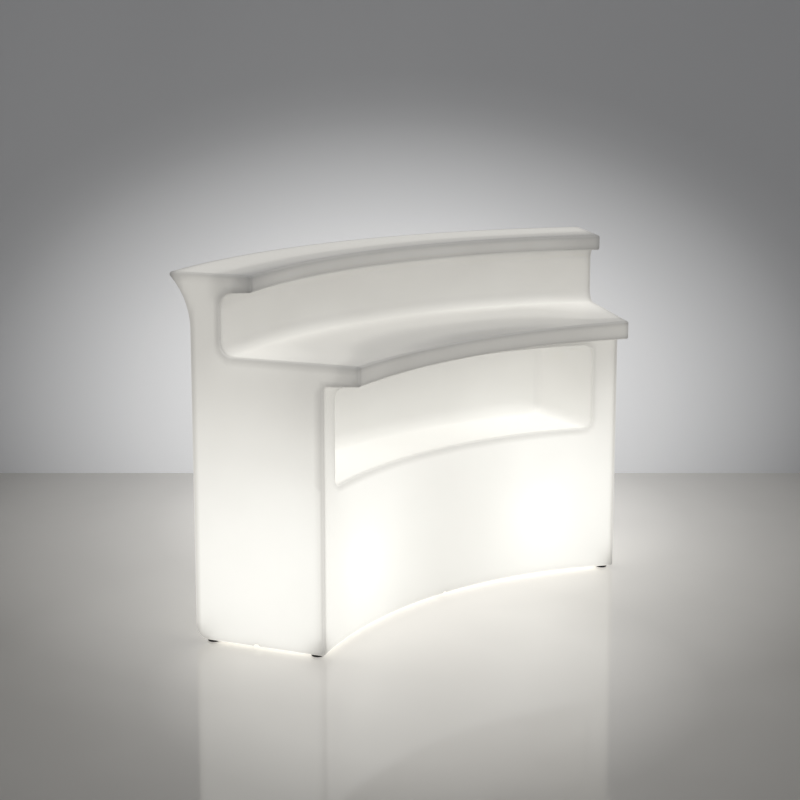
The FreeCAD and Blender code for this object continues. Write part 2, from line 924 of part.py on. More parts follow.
def terminal_block():
    seat = supply_top + box_wall
    body = block(terminal_length, terminal_width, seat, seat + terminal_height)
    pitch = terminal_length / terminal_way_count
    cuts = []
    for way in range(1, terminal_way_count):
        notch = block(terminal_notch, terminal_width + overrun, seat + terminal_height / 2, seat + overrun)
        cuts.append(moved(notch, way * pitch - terminal_length / 2, 0))
    return moved(body.cut(cuts), 0, terminal_offset)


def supply_gland():
    """The gland's body through hatch and box, with its flange and dome nut in the pocket."""
    flange_bottom = supply_bottom - gland_flange_height
    body = peg(gland_body_radius, flange_bottom, flange_bottom + gland_flange_height + gland_body_length)
    flange = hexagon(gland_flange_width, flange_bottom, supply_bottom)
    dome_bottom = flange_bottom - gland_dome_height
    dome = turned(
        [
            (0, dome_bottom, 0),
            (gland_dome_radius, dome_bottom, gland_dome_round),
            (gland_dome_radius, flange_bottom, 0),
            (0, flange_bottom, 0),
        ]
    )
    gland = body.fuse([flange, dome]).removeSplitter()
    return moved(gland.cut(peg(gland_bore, 0, supply_top + overrun)), 0, -gland_offset)


def gland_locknut():
    seat = supply_top + box_wall
    nut = hexagon(locknut_width, seat, seat + locknut_height)
    return moved(nut.cut(peg(gland_body_radius + play, 0, seat + overrun)), 0, -gland_offset)


def grommet():
    """A rubber ring in the box's side wall, round the lead."""
    outer = box_length / 2 + grommet_lip
    inner = box_length / 2 - box_wall
    profile = [
        (lead_radius + play, inner - grommet_lip),
        (grommet_lip_radius, inner - grommet_lip),
        (grommet_lip_radius, inner),
        (grommet_radius, inner),
        (grommet_radius, box_length / 2),
        (grommet_lip_radius, box_length / 2),
        (grommet_lip_radius, outer),
        (lead_radius + play, outer),
    ]
    ring = turned([(r, z, 0) for r, z in profile])
    ring.rotate(FreeCAD.Vector(), FreeCAD.Vector(0, 1, 0), 90)
    return moved(ring, 0, 0, supply_top + lead_exit_height)


def mirrored(shape):
    return shape.mirror(FreeCAD.Vector(), FreeCAD.Vector(1, 0, 0))


# Inner leads

def lead_level():
    return cavity_floor + lead_lift + lead_radius


def lead_corners():
    """Corners of the right lead's line: out of the box, along the floor and up to its holder."""
    span = lamp_radius * math.sin(math.radians(lamp_angle))
    middle = lamp_radius - arc_back
    level = lead_level()
    climb = strap_top_height - level
    exit_height = supply_top + lead_exit_height
    inside = box_length / 2 - lead_tail
    outside = supply_pocket_radius + wall + lead_radius * 2
    lamp = at(lamp_radius, lamp_angle, 0)
    corners = [
        FreeCAD.Vector(inside, middle, exit_height),
        FreeCAD.Vector(outside, middle, exit_height),
    ]
    for across, along, height in lead_route_shares:
        corners.append(
            FreeCAD.Vector(across * span, middle + along * span, level + height * climb)
        )
    corners.append(FreeCAD.Vector(lamp.x, lamp.y, level + lead_turn_share * climb))
    corners.append(FreeCAD.Vector(lamp.x, lamp.y, strap_top_height + holder_seat_depth + lead_tail))
    return corners


def lead():
    """The right lead: straight runs joined by arcs as large as the shorter run allows."""
    corners = lead_corners()
    rounded = [(corners[0], 0)]
    for before, here, after in zip(corners, corners[1:], corners[2:]):
        shorter = min((here - before).Length, (after - here).Length)
        turn = (here - before).getAngle(after - here)
        rounded.append((here, lead_arc_share * shorter / math.tan(turn / 2)))
    rounded.append((corners[-1], 0))
    line = Part.Wire(rounded_path(rounded))
    circle = Part.Wire(Part.Circle(corners[0], corners[1] - corners[0], lead_radius).toShape())
    solid = line.makePipeShell([circle], True, True)
    smallest = min(radius for _, radius in rounded[1:-1])
    volume = math.pi * lead_radius**2 * line.Length
    print("lead: length", round(line.Length, 1), "least arc", round(smallest, 1))
    print("lead: volume against section times length", round(solid.Volume / volume, 4))
    return solid


def lead_clips():
    """Saddle clips in the middle of the first and last run of each lead on the cavity floor."""
    centre = lead_lift + lead_radius
    foot = rounded_clip_foot()
    jaw = block(clip_length, clip_jaw_width, 0, centre + lead_radius + clip_foot_height)
    channel = Part.makeCylinder(
        lead_radius + clip_gap,
        clip_length + 2 * overrun,
        FreeCAD.Vector(-clip_length / 2 - overrun, 0, centre),
        FreeCAD.Vector(1, 0, 0),
    )
    clip = foot.fuse(jaw).removeSplitter().cut(channel)
    corners = lead_corners()
    level = lead_level()
    runs = [(start, end) for start, end in zip(corners, corners[1:]) if start.z == end.z == level]
    clips = []
    for start, end in (runs[0], runs[-1]):
        heading = math.degrees(math.atan2(end.y - start.y, end.x - start.x))
        middle = (start + end) / 2
        placed = moved(turned_by(clip, heading), middle.x, middle.y, cavity_floor)
        clips += [placed, mirrored(placed)]
    return clips


def rounded_clip_foot():
    foot = block(clip_length, clip_width, 0, clip_foot_height)
    uprights = [e for e in foot.Edges if abs(e.tangentAt(e.FirstParameter).z) > 1 - on_surface]
    return foot.makeFillet(clip_foot_height, uprights)


def vent_plug():
    under = floor_gap - vent_flange_height
    stem = vent_bore - play
    inside = cavity_floor + play
    end = inside + vent_reach
    plug = turned(
        [
            (0, under, 0),
            (vent_flange_radius, under, vent_flange_height / 2),
            (vent_flange_radius, floor_gap, 0),
            (stem, floor_gap, 0),
            (stem, inside, 0),
            (vent_bore + vent_barb, inside, 0),
            (stem - vent_barb, end, 0),
            (stem - vent_barb - vent_wall, end, 0),
            (stem - vent_barb - vent_wall, floor_gap, 0),
            (0, floor_gap, 0),
        ]
    )
    return stood(plug, vent_place_radius, vent_angle)


def in_middle(shape):
    return stood(shape, lamp_radius, 0)


def all_in_middle(shapes):
    return [in_middle(one) for one in shapes]


def parts():
    """Every named piece of the counter, each a solid or a list of like solids."""
    lamp_circle = screw_circles()[0][1]
    supply_circle = screw_circles()[-1][1]
    lamp_seal = gasket(hatch_opening_radius, hatch_recess_radius, lamp_circle, hatch_ceiling)
    supply_seal = gasket(supply_opening_radius, supply_pocket_radius, supply_circle, supply_ceiling)
    right_lead = lead()
    right_grommet = in_middle(grommet())
    found = {
        "counter_shell": counter_shell(),
        "supply_hatch": in_middle(supply_hatch()),
        "supply_gasket": in_middle(supply_seal),
        "hatch_screws": hatch_screws(),
        "hatch_inserts": hatch_inserts(),
        "bracket_bolts": bracket_bolts(),
        "bracket_nuts": bracket_nuts(),
        "holder_nipples": holder_nipples(),
        "nipple_nuts": nipple_nuts(),
        "junction_box": in_middle(junction_box()),
        "junction_lid": in_middle(junction_lid()),
        "junction_screws": all_in_middle(junction_screws()),
        "terminal_block": in_middle(terminal_block()),
        "supply_gland": in_middle(supply_gland()),
        "gland_locknut": in_middle(gland_locknut()),
        "lead_grommets": [right_grommet, mirrored(right_grommet)],
        "lead_right": right_lead,
        "lead_left": mirrored(right_lead),
        "lead_clips": lead_clips(),
        "vent_plug": vent_plug(),
        "foot_inserts": foot_inserts(),
    }
    for side, angle in lamp_places():
        found["lamp_hatch_" + side] = stood(lamp_hatch(), lamp_radius, angle)
        found["hatch_gasket_" + side] = stood(lamp_seal, lamp_radius, angle)
        found["lamp_bracket_" + side] = stood(lamp_bracket(), lamp_radius, angle)
        found["lamp_holder_" + side] = stood(lamp_holder(), lamp_radius, angle)
        found["lamp_cap_" + side] = stood(lamp_cap(), lamp_radius, angle)
        found["lamp_globe_" + side] = stood(lamp_globe(), lamp_radius, angle)
    for name, radius, angle in foot_places():
        found["foot_stud_" + name] = stood(foot_stud(), radius, angle)
        found["foot_pad_" + name] = stood(foot_pad(), radius, angle)
    return found


def export():
    os.makedirs("parts", exist_ok=True)
    for name, piece in parts().items():
        solids = piece if isinstance(piece, list) else [piece]
        solids = [solid for shape in solids for solid in shape.Solids]
        shape = solids[0] if len(solids) == 1 else Part.makeCompound(solids)
        if not shape.isValid():
            print("not valid:", name)
        shape.exportStep("parts/" + name + ".step")


export()
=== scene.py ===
import json
import math

import bmesh
import bpy
import numpy as np
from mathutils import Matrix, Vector, geometry
from mathutils.bvhtree import BVHTree


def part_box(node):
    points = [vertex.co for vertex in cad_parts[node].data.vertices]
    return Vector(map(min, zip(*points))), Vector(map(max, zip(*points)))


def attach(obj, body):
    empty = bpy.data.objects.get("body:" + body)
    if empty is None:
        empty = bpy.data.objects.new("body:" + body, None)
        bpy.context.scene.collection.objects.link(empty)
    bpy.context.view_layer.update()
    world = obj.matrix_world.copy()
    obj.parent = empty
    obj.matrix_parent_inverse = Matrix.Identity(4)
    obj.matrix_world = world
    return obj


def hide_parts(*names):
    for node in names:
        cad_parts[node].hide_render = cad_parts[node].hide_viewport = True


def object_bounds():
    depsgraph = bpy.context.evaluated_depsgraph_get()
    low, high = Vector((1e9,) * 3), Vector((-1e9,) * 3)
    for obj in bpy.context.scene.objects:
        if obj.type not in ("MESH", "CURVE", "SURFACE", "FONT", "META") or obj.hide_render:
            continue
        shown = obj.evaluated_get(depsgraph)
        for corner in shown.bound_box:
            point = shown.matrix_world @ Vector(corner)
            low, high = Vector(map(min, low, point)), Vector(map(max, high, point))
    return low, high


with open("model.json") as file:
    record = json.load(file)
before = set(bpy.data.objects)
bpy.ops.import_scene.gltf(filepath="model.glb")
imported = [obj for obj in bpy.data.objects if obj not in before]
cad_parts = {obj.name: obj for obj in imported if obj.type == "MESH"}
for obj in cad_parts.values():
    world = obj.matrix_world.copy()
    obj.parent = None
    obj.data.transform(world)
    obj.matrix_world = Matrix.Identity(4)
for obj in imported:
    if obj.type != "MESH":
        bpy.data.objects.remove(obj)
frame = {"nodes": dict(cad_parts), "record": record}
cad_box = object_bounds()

# A curved bar counter, moulded in one double-walled shell and lit from inside. Metres and radians.
# The shell is built here as one fine even skin, so that the light inside it can be worked out
# point by point. Radii are from the arc's centre, and angles from the counter's middle.

# Shell, with the sizes of the solid that it stands for
half_angle = math.radians(30)
wall = 0.006
height = cad_box[1].z
base_level = 0.010
inner_wall_radius = 1.210
outer_wall_radius = 1.621
tip_radius = 1.684
neck_height = 0.935
worktop_height = 0.863
worktop_thickness = 0.066
worktop_mid_radius = 1.048
worktop_front_radius = 1.640
riser_radius = 1.526
ledge_edge_radius = 1.425
ledge_thickness = 0.057
underside_slope = math.tan(math.radians(4.5))
base_outer_round = 0.040
base_inner_round = 0.010
step_round = 0.040
wall_top_round = 0.015
ledge_round = 0.008
edge_round = 0.0065

# Niche
niche_half_width = 0.532
niche_back_radius = 1.440
niche_lip = 0.489
niche_ceiling = 0.767
niche_floor_slope = math.tan(math.radians(3.5))
niche_ceiling_slope = math.tan(math.radians(3.0))
niche_back_round = 0.045
niche_side_round = 0.026
niche_mouth_round = 0.008
niche_round_run = 0.06

# What is cut into the shell from below
overrun = 0.020
small_bore = 0.030
round_segments = 96
bore_segments = 32
channel_radius = 1.425
channel_width = 0.023
channel_depth = 0.009
channel_points = 13
channel_steps = 64
channel_reach = 1.05
hatch_rim_gap = 0.001
lamp_opening = 0.075
supply_opening = 0.050
screw_boss_radius = 0.0064
screw_boss_height = 0.014
screw_bore_radius = 0.00355
screw_bore_depth = 0.0105
foot_boss_radius = 0.019
foot_boss_top = 0.060
foot_bores = [(0.01055, -overrun, 0.012), (0.00805, 0.012, 0.035), (0.006, 0.035, 0.052)]
vent_bore = 0.009

# Fineness of the outer skin and of the cavity: shortest and longest step between points, turn of
# each step of the roundings, and steps round the ends' and the niche's edges
skin_fineness = (0.004, 0.018, math.radians(12), 5)
cavity_fineness = (0.018, 0.045, math.radians(30), 2)

# Light inside the shell: shares given back, rays from each point and relative amounts
inner_reflection = 0.80
lamp_points = 8
patch_rays = 96
skin_rays = 56
across_rays = 32
bounces = 40
outer_reflection = 0.72
floor_glow = 0.5
floor_glow_reach = 0.25
underside_floor_share = 0.45
clear_of_wall = 0.002
glow_smoothing = 6
# Light behind the wall, and how bright its outside is: dim light shows more than its share
wall_response = [
    (0.0030, 0.16),
    (0.0037, 0.205),
    (0.0043, 0.28),
    (0.0058, 0.29),
    (0.0070, 0.32),
    (0.0084, 0.40),
    (0.0100, 0.415),
    (0.0145, 0.425),
    (0.0173, 0.46),
    (0.0202, 0.505),
    (0.0236, 0.568),
    (0.0276, 0.63),
    (0.0322, 0.67),
    (0.0376, 0.72),
    (0.0439, 0.77),
    (0.0533, 0.825),
    (0.0620, 0.86),
    (0.0700, 0.895),
    (0.0780, 0.94),
    (0.0900, 1.0),
]

# Painted shade darkens the glow along the outer corners, where the wall is thicker, and painted
# light brightens it in the folds, where the wall is thinner. Over the base's edge, light from the
# floor makes up for the corner.
corner_rays = 24
corner_reach = 0.025
corner_shade = 2.2
base_edge = 0.045
fold_reach = 0.030
fold_light_gain = 0.15

# Camera, where the photo was taken from
camera_place = (-3.11666, -3.61426, 1.74754)
camera_turn = math.radians(39.865)
camera_drop = math.radians(8.809)
camera_lens = 69.2
camera_shift = -0.15

# Floor and backdrop, a little behind the counter
sweep_distance = 6.11
sweep_side = 14
sweep_front = 9
sweep_top = 9
floor_colours = ((0.68, 0.66, 0.62), (0.73, 0.71, 0.67))
floor_roughness = (0.05, 0.075)
floor_specular = 0.95
paper_colours = ((0.56, 0.57, 0.60), (0.60, 0.61, 0.64))
paper_roughness = (0.86, 0.92)
floor_clouds = 1.5
floor_grain = 60
floor_grain_strength = 0.02
floor_grain_depth = 0.0003
paper_clouds = 0.8

# Painted light: a pool of light on the backdrop, and the counter's painted glow and reflection on
# the floor, in steps of (share of the patch's radius, strength). Each painted patch of the floor
# starts with how far it lies behind the counter's middle and its radius.
backdrop_light_pool_radius = 2.0
backdrop_light_pool_height = 0.30
backdrop_light_pool_flat = 1.5
backdrop_light_pool = [
    (0.0, 0.57),
    (0.35, 0.53),
    (0.46, 0.465),
    (0.54, 0.40),
    (0.66, 0.28),
    (0.78, 0.165),
    (0.86, 0.093),
    (0.92, 0.06),
    (1.0, 0.042),
]
floor_light_tint = (1.0, 0.97, 0.925)
floor_light_pools = [
    (
        0.8,
        2.0,
        [
            (0.0, 0.36),
            (0.375, 0.355),
            (0.5, 0.206),
            (0.625, 0.126),
            (0.75, 0.076),
            (0.875, 0.025),
            (1.0, 0.01),
        ],
    ),
    (
        -0.7,
        1.3,
        [(0.0, 0.205), (0.2, 0.215), (0.4, 0.174), (0.6, 0.065), (0.8, 0.032), (1.0, 0.01)],
    ),
]

# Light of the room, from all round and as the camera sees it, and its one soft lamp
room_light = 0.165
room_seen = 0.30
room_lamp_power = 15
room_lamp_size = 3.2
room_lamp_place = (-1.2, -1.6, 4.2)
room_lamp_aim = (0, 0, 0.5)

# The shell's plastic. The glow's colour goes by how bright it is: dim and yellowish, or bright and
# nearly white.
shell_colours = ((0.785, 0.78, 0.77), (0.82, 0.818, 0.812))
shell_roughness = (0.36, 0.44)
shell_clouds = 7.0
shell_grain = 420.0
shell_grain_strength = 0.08
shell_grain_depth = 0.0004
shell_mottling = (0.985, 1.0)
glow_colours = [(0.35, (1.0, 0.968, 0.885)), (0.85, (1.0, 0.99, 0.93))]

# Finish of each other material slot: darker and lighter colour, roughness, metallic, grain per
# metre and its depth. The grain takes a share in the colour, and the rest is clouds of larger size.
grain_strength = 0.5
grain_share = 0.35
cloud_size = 8
opal_glow = ((0.96, 0.94, 0.86), (1.0, 0.98, 0.90))
finishes = {
    "foot_rubber": ((0.016, 0.016, 0.017), (0.030, 0.030, 0.032), (0.70, 0.88), 0, 700, 0.00010),
    "seal_rubber": ((0.030, 0.030, 0.032), (0.050, 0.050, 0.052), (0.60, 0.78), 0, 900, 0.00006),
    "zinc_steel": ((0.58, 0.60, 0.62), (0.74, 0.75, 0.77), (0.26, 0.42), 1, 240, 0.00003),
    "insert_brass": ((0.62, 0.45, 0.20), (0.76, 0.58, 0.29), (0.28, 0.44), 1, 500, 0.00003),
    "cap_metal": ((0.70, 0.69, 0.66), (0.82, 0.81, 0.79), (0.22, 0.34), 1, 420, 0.00002),
    "hatch_plastic": ((0.70, 0.70, 0.68), (0.76, 0.76, 0.74), (0.40, 0.52), 0, 650, 0.00008),
    "box_plastic": ((0.52, 0.53, 0.53), (0.58, 0.59, 0.59), (0.42, 0.54), 0, 800, 0.00006),
    "gland_plastic": ((0.46, 0.47, 0.47), (0.53, 0.54, 0.54), (0.38, 0.50), 0, 900, 0.00004),
    "terminal_plastic": ((0.66, 0.63, 0.54), (0.74, 0.71, 0.62), (0.34, 0.46), 0, 700, 0.00004),
    "holder_plastic": ((0.030, 0.029, 0.028), (0.050, 0.048, 0.046), (0.26, 0.38), 0, 600, 0.00005),
    "lead_sheath": ((0.60, 0.60, 0.58), (0.68, 0.68, 0.66), (0.44, 0.56), 0, 500, 0.00006),
    "clip_plastic": ((0.68, 0.68, 0.66), (0.76, 0.76, 0.74), (0.36, 0.48), 0, 700, 0.00005),
    "lamp_opal": ((0.82, 0.81, 0.78), (0.88, 0.87, 0.84), (0.12, 0.20), 0, 300, 0.00001),
}

# Parts of noise over which colours and roughness change from one value to the other
noise_span = (0.3, 0.7)
mixed_span = (0.25, 0.75)

# The origin lies in the middle of the counter's box in plan, and the tip reaches its far side
arc_back = tip_radius + cad_box[0].y
front_back = worktop_front_radius - worktop_mid_radius
end_out = np.array([math.cos(half_angle), -math.sin(half_angle), 0])
end_along = np.array([math.sin(half_angle), math.cos(half_angle), 0])
same_point = 1e-6
joined_within = same_point * 20
degenerate_under = same_point * 10
flat_digits = 6
angle_rounds = 8
# Where the niche's straight sides start, in roundings of its mouth
mouth_run = 1.5


def unit(vectors):
    return vectors / np.linalg.norm(vectors, axis=-1, keepdims=True)


def turned_between(start, end, share):
    """Unit vectors that turn evenly from start to end."""
    angle = np.arccos(np.clip((start * end).sum(-1, keepdims=True), -1, 1))
    angle = np.maximum(angle, same_point)
    mixed = start * np.sin((1 - share) * angle) + end * np.sin(share * angle)
    return mixed / np.sin(angle)


def spread(length, fine, coarse, grow=1.5):
    """Places along a length, with steps that grow from fine at both ends to coarse between."""
    steps = []
    step = fine
    while step < coarse and sum(steps) + step < length / 2:
        steps.append(step)
        step *= grow
    rest = length - 2 * sum(steps)
    count = max(1, round(rest / coarse))
    steps = steps + [rest / count] * count + steps[::-1]
    return np.concatenate([[0], np.cumsum(steps)])


class Section:
    """Stations (radius, height, outward normal) along the section, with the body on the right."""

    def __init__(self, fine, coarse, turn_step):
        self.fine, self.coarse, self.turn_step = fine, coarse, turn_step
        self.stations = []

    def line(self, start, end):
        length = np.linalg.norm(end - start)
        if length < same_point:
            return
        along = (end - start) / length
        for place in spread(length, self.fine, self.coarse)[:-1]:
            self.stations.append([*(start + along * place), -along[1], along[0]])

    def arc(self, centre, radius, first, last):
        outward = 1 if last < first else -1
        count = max(1, round(abs(last - first) / self.turn_step))
        for turn in np.linspace(first, last, count + 1)[:-1]:
            normal = np.array([math.cos(turn), math.sin(turn)])
            self.stations.append([*(centre + radius * normal), *(normal * outward)])

    def rounded(self, corners):
        """Lines and arcs from the first corner to the last, each (radius, height, rounding)."""
        start = np.array(corners[0][:2])
        for before, here, after in zip(corners, corners[1:], corners[2:]):
            point = np.array(here[:2])
            back = unit(np.array(before[:2]) - point)
            ahead = unit(np.array(after[:2]) - point)
            opening = math.acos(back @ ahead) / 2
            reach = here[2] / math.tan(opening)
            centre = point + unit(back + ahead) * (here[2] / math.sin(opening))
            ends = [point + back * reach, point + ahead * reach]
            self.line(start, ends[0])
            first, last = [math.atan2(*(end - centre)[::-1]) for end in ends]
            last += 2 * math.pi * round((first - last) / (2 * math.pi))
            self.arc(centre, here[2], first, last)
            start = ends[1]
        self.line(start, np.array(corners[-1][:2]))


def body_section(fine, coarse, turn_step):
    """The closed section in the counter's middle, and how many stations lie on its inner wall."""
    section = Section(fine, coarse, turn_step)
    worktop_under = worktop_height - worktop_thickness
    front_under = worktop_under + (inner_wall_radius - worktop_mid_radius) * underside_slope
    ledge_under = height - ledge_thickness
    ledge_edge_under = ledge_under + (riser_radius - ledge_edge_radius) * underside_slope
    tip_centre = tip_radius - ledge_round
    tip_level = height - ledge_round
    wall_foot = (inner_wall_radius, base_level + base_inner_round, 0)
    section.rounded(
        [
            wall_foot,
            (inner_wall_radius, worktop_under, wall_top_round),
            (worktop_mid_radius, front_under, edge_round),
            (worktop_mid_radius, worktop_height, edge_round),
            (riser_radius, worktop_height, step_round),
            (riser_radius, ledge_under, step_round),
            (ledge_edge_radius, ledge_edge_under, ledge_round),
            (ledge_edge_radius, height, ledge_round),
            (tip_centre, height, 0),
        ]
    )
    reach = tip_radius - outer_wall_radius
    rise = tip_level - neck_height
    flare = ((reach - ledge_round) ** 2 + rise**2 - ledge_round**2) / (2 * reach)
    flare_centre = outer_wall_radius + flare
    slope = math.atan2(rise, flare_centre - tip_centre)
    section.arc(np.array([tip_centre, tip_level]), ledge_round, math.pi / 2, -slope)
    section.turn_step /= 2
    section.arc(np.array([flare_centre, neck_height]), flare, math.pi - slope, math.pi)
    section.turn_step *= 2
    section.rounded(
        [
            (outer_wall_radius, neck_height, 0),
            (outer_wall_radius, base_level, base_outer_round),
            (inner_wall_radius, base_level, base_inner_round),
            wall_foot,
        ]
    )
    stations = np.array(section.stations)
    on_wall = abs(stations[:, 0] - inner_wall_radius) < same_point
    on_wall &= abs(stations[:, 2] + 1) < same_point
    return stations, int(np.argmin(on_wall)) - 1


def plan_direction(angle):
    return np.stack([np.sin(angle), np.cos(angle)], -1)


def front_edge(angle):
    """The worktop's front arc at an angle, and the direction out of its face."""
    across = front_back * np.sin(angle)
    reach = np.sqrt(worktop_front_radius**2 - across**2) - front_back * np.cos(angle)
    point = plan_direction(angle) * reach[..., None]
    return point, -unit(point + np.array([0, front_back]))


def on_surface(station, angle):
    """Points and outward normals of one station of the section, at an array of angles."""
    radius, level, across, up = station
    levels = np.full(angle.shape, level)
    radial = plan_direction(angle)
    plan, sideways = radial * radius, radial
    rim = worktop_mid_radius + edge_round
    if level < worktop_height + same_point and radius < inner_wall_radius - same_point:
        edge, out = front_edge(angle)
        rim_plan = edge - out * edge_round
        if radius < rim + same_point:
            plan, sideways = edge - out * (radius - worktop_mid_radius), -out
            drop = (np.linalg.norm(rim_plan, axis=-1) - rim) * underside_slope
            face_top = worktop_height - edge_round
            face_low = worktop_height - worktop_thickness
            face_low += (inner_wall_radius - worktop_mid_radius) * underside_slope + edge_round
            levels -= drop * np.clip((face_top - level) / (face_top - face_low), 0, 1)
        else:
            share = (inner_wall_radius - radius) / (inner_wall_radius - rim)
            plan = radial * inner_wall_radius * (1 - share) + rim_plan * share
            if up < 0:
                levels -= (np.linalg.norm(plan, axis=-1) - radius) * underside_slope
    points = np.concatenate([plan, levels[..., None]], -1)
    normals = np.concatenate([sideways * across, np.full(angle.shape + (1,), up)], -1)
    return points, normals


def end_angle(station):
    """The angle where a station's surface starts to round over to the end face."""
    angle = np.array([half_angle])
    for _ in range(angle_rounds):
        point, normal = on_surface(station, angle)
        inside = -(point - normal * edge_round) @ end_out
        angle = angle + (inside - edge_round) / np.linalg.norm(point[..., :2])
    return float(angle[0])


class Skin:
    """Points, their outward normals and faces, all in the row frame once finished."""

    def __init__(self):
        self.points, self.normals, self.faces = [], [], []
        self.count = 0

    def add(self, points, normals):
        """Adds points and returns their numbers, in the shape they came in."""
        shape = points.shape[:-1]
        self.points.append(points.reshape(-1, 3))
        self.normals.append(np.broadcast_to(normals, points.shape).reshape(-1, 3))
        numbers = np.arange(self.count, self.count + int(np.prod(shape))).reshape(shape)
        self.count = int(numbers.max()) + 1
        return numbers

    def quads(self, numbers):
        corners = [numbers[:-1, :-1], numbers[1:, :-1], numbers[1:, 1:], numbers[:-1, 1:]]
        self.faces += np.stack(corners, -1).reshape(-1, 4).tolist()

    def fill(self, loops, flat_loops, inner_flat, lift):
        """Triangles between closed loops of known points, through extra points on a flat plan."""
        for each, flat in enumerate(flat_loops):
            moved = np.hypot(*(flat - np.roll(flat, 1, 0)).T) > same_point
            loops[each], flat_loops[each] = loops[each][moved], flat[moved]
        numbers = np.concatenate(loops)
        edges = []
        first = 0
        for loop in loops:
            for step in range(len(loop)):
                edges.append((first + step, first + (step + 1) % len(loop)))
            first += len(loop)
        new = self.add(*lift(inner_flat))
        numbers = np.concatenate([numbers, new])
        # Rounded, so that a straight side's points stay in line
        flat = np.round(np.concatenate([*flat_loops, inner_flat]), flat_digits)
        found = geometry.delaunay_2d_cdt([Vector(p) for p in flat], edges, [], 0, 0)
        origins = [numbers[origin[0]] for origin in found[3]]
        places = np.array([v[:] for v in found[0]])
        triangles = [t for t in found[2] if len(t) == 3]
        middles = places[np.array(triangles)].mean(1)
        keep = inside_loops(middles, flat_loops)
        self.faces += [[int(origins[v]) for v in t] for t, kept in zip(triangles, keep) if kept]


def inside_loops(points, loops):
    """Which flat points an odd number of closed loops goes round."""
    inside = np.zeros(len(points), bool)
    for loop in loops:
        start, end = loop, np.roll(loop, -1, 0)
        for (ax, ay), (bx, by) in zip(start, end):
            if ay == by:
                continue
            crosses = (points[:, 1] < ay) != (points[:, 1] < by)
            inside ^= crosses & (points[:, 0] < ax + (points[:, 1] - ay) / (by - ay) * (bx - ax))
    return inside


def apart(points, loops, least):
    """Which flat points keep that distance from the points of closed loops."""
    corners = np.concatenate(loops)
    nearest = np.array([np.hypot(*(corners - point).T).min() for point in points])
    return nearest > least


def between(points, loops, least):
    return points[inside_loops(points, loops) & apart(points, loops, least)]


def ring(fine, coarse, turn_step, end_steps, skin):
    """The counter's body between its end faces, with the roundings of the ends. Returns what the
    inner wall and the end faces join on to."""
    stations, wall_count = body_section(fine, coarse, turn_step)
    limits = [end_angle(station) for station in stations]
    length = 2 * half_angle * outer_wall_radius
    shares = spread(length, fine, coarse) / length * 2 - 1
    middle_points, middle_normals, end_points, end_normals = [], [], [], []
    for station, limit in zip(stations, limits):
        points, normals = on_surface(station, shares * limit)
        middle_points.append(points)
        middle_normals.append(normals)
        turn = np.arange(1, end_steps + 1)[:, None] / end_steps
        directions = turned_between(normals[-1], end_out, turn)
        end_points.append(points[-1] + (directions - normals[-1]) * edge_round)
        end_normals.append(directions)
    mirror = np.array([-1, 1, 1])
    ends, directions = np.array(end_points), np.array(end_normals)
    points = [ends[:, ::-1] * mirror, np.array(middle_points), ends]
    normals = [directions[:, ::-1] * mirror, np.array(middle_normals), directions]
    points, normals = np.concatenate(points, 1), np.concatenate(normals, 1)
    numbers = skin.add(points, normals)
    closed = np.concatenate([numbers, numbers[:1]])
    skin.quads(closed[wall_count:])
    skin.quads(closed[: wall_count + 1, : end_steps + 1])
    skin.quads(closed[: wall_count + 1, -end_steps - 1 :])
    rows = slice(end_steps, -end_steps)
    wall_loop = np.concatenate(
        [
            numbers[0, rows],
            numbers[1:wall_count, rows][:, -1],
            numbers[wall_count, rows][::-1],
            numbers[1:wall_count, rows][::-1, 0],
        ]
    )
    heights = stations[:wall_count, 1]
    return wall_loop, heights, shares * limits[0], [numbers[:, -1], numbers[:, 0]]


def end_faces(loops, spacing, skin):
    for side, loop in zip((1, -1), loops):
        points = np.concatenate(skin.points)[loop]
        mirror = np.array([side, 1, 1])
        flat = np.stack([(points * mirror) @ end_along, points[:, 2]], -1)
        low, high = flat.min(0), flat.max(0)
        places = [np.arange(a + spacing / 2, b, spacing) for a, b in zip(low, high)]
        across, up = np.meshgrid(*places)
        inner = between(np.stack([across.ravel(), up.ravel()], -1), [flat], spacing / 2)

        def lift(places):
            plan = end_along * places[:, :1] + np.array([0, 0, 1]) * places[:, 1:]
            return plan * mirror, end_out * mirror

        skin.fill([loop], [flat], inner, lift)


def loop_shape(fine, coarse, turn_step):
    """Round a rounded rectangle: each point's share of the way to the corners, and direction."""
    found = []
    long_side = spread(2 * niche_half_width, fine, coarse)
    short_side = spread(niche_ceiling - niche_lip, fine, coarse)
    turns = np.linspace(0, math.pi / 2, round(math.pi / 2 / turn_step) + 1)
    sides = [(long_side, 0), (short_side, 1), (long_side, 2), (short_side, 3)]
    for lengths, quarter in sides:
        facing = -math.pi / 2 + quarter * math.pi / 2
        for share in lengths / lengths[-1] * 2 - 1:
            direction = np.array([math.cos(facing), math.sin(facing)])
            along = np.array([-direction[1], direction[0]])
            found.append([*(direction + along * share), *direction])
        corner = found[-1][:2]
        for turn in turns[1:-1]:
            found.append([*corner, math.cos(facing + turn), math.sin(facing + turn)])
    return np.array(found)


def niche_loop(shape, radius, grow=0):
    """Points of the niche's outline at a radius, grown or drawn in."""
    depth = radius - inner_wall_radius
    low = niche_lip + depth * niche_floor_slope - grow
    top = niche_ceiling - depth * niche_ceiling_slope + grow
    rounding = niche_side_round + grow
    across = shape[:, 0] * (niche_half_width - niche_side_round) + shape[:, 2] * rounding
    middle, reach = (low + top) / 2, (top - low) / 2 - rounding
    level = middle + shape[:, 1] * reach + shape[:, 3] * rounding
    return np.stack([across, np.sqrt(radius**2 - across**2), level], -1)


def radial_in(points):
    return -unit(points * np.array([1, 1, 0]))


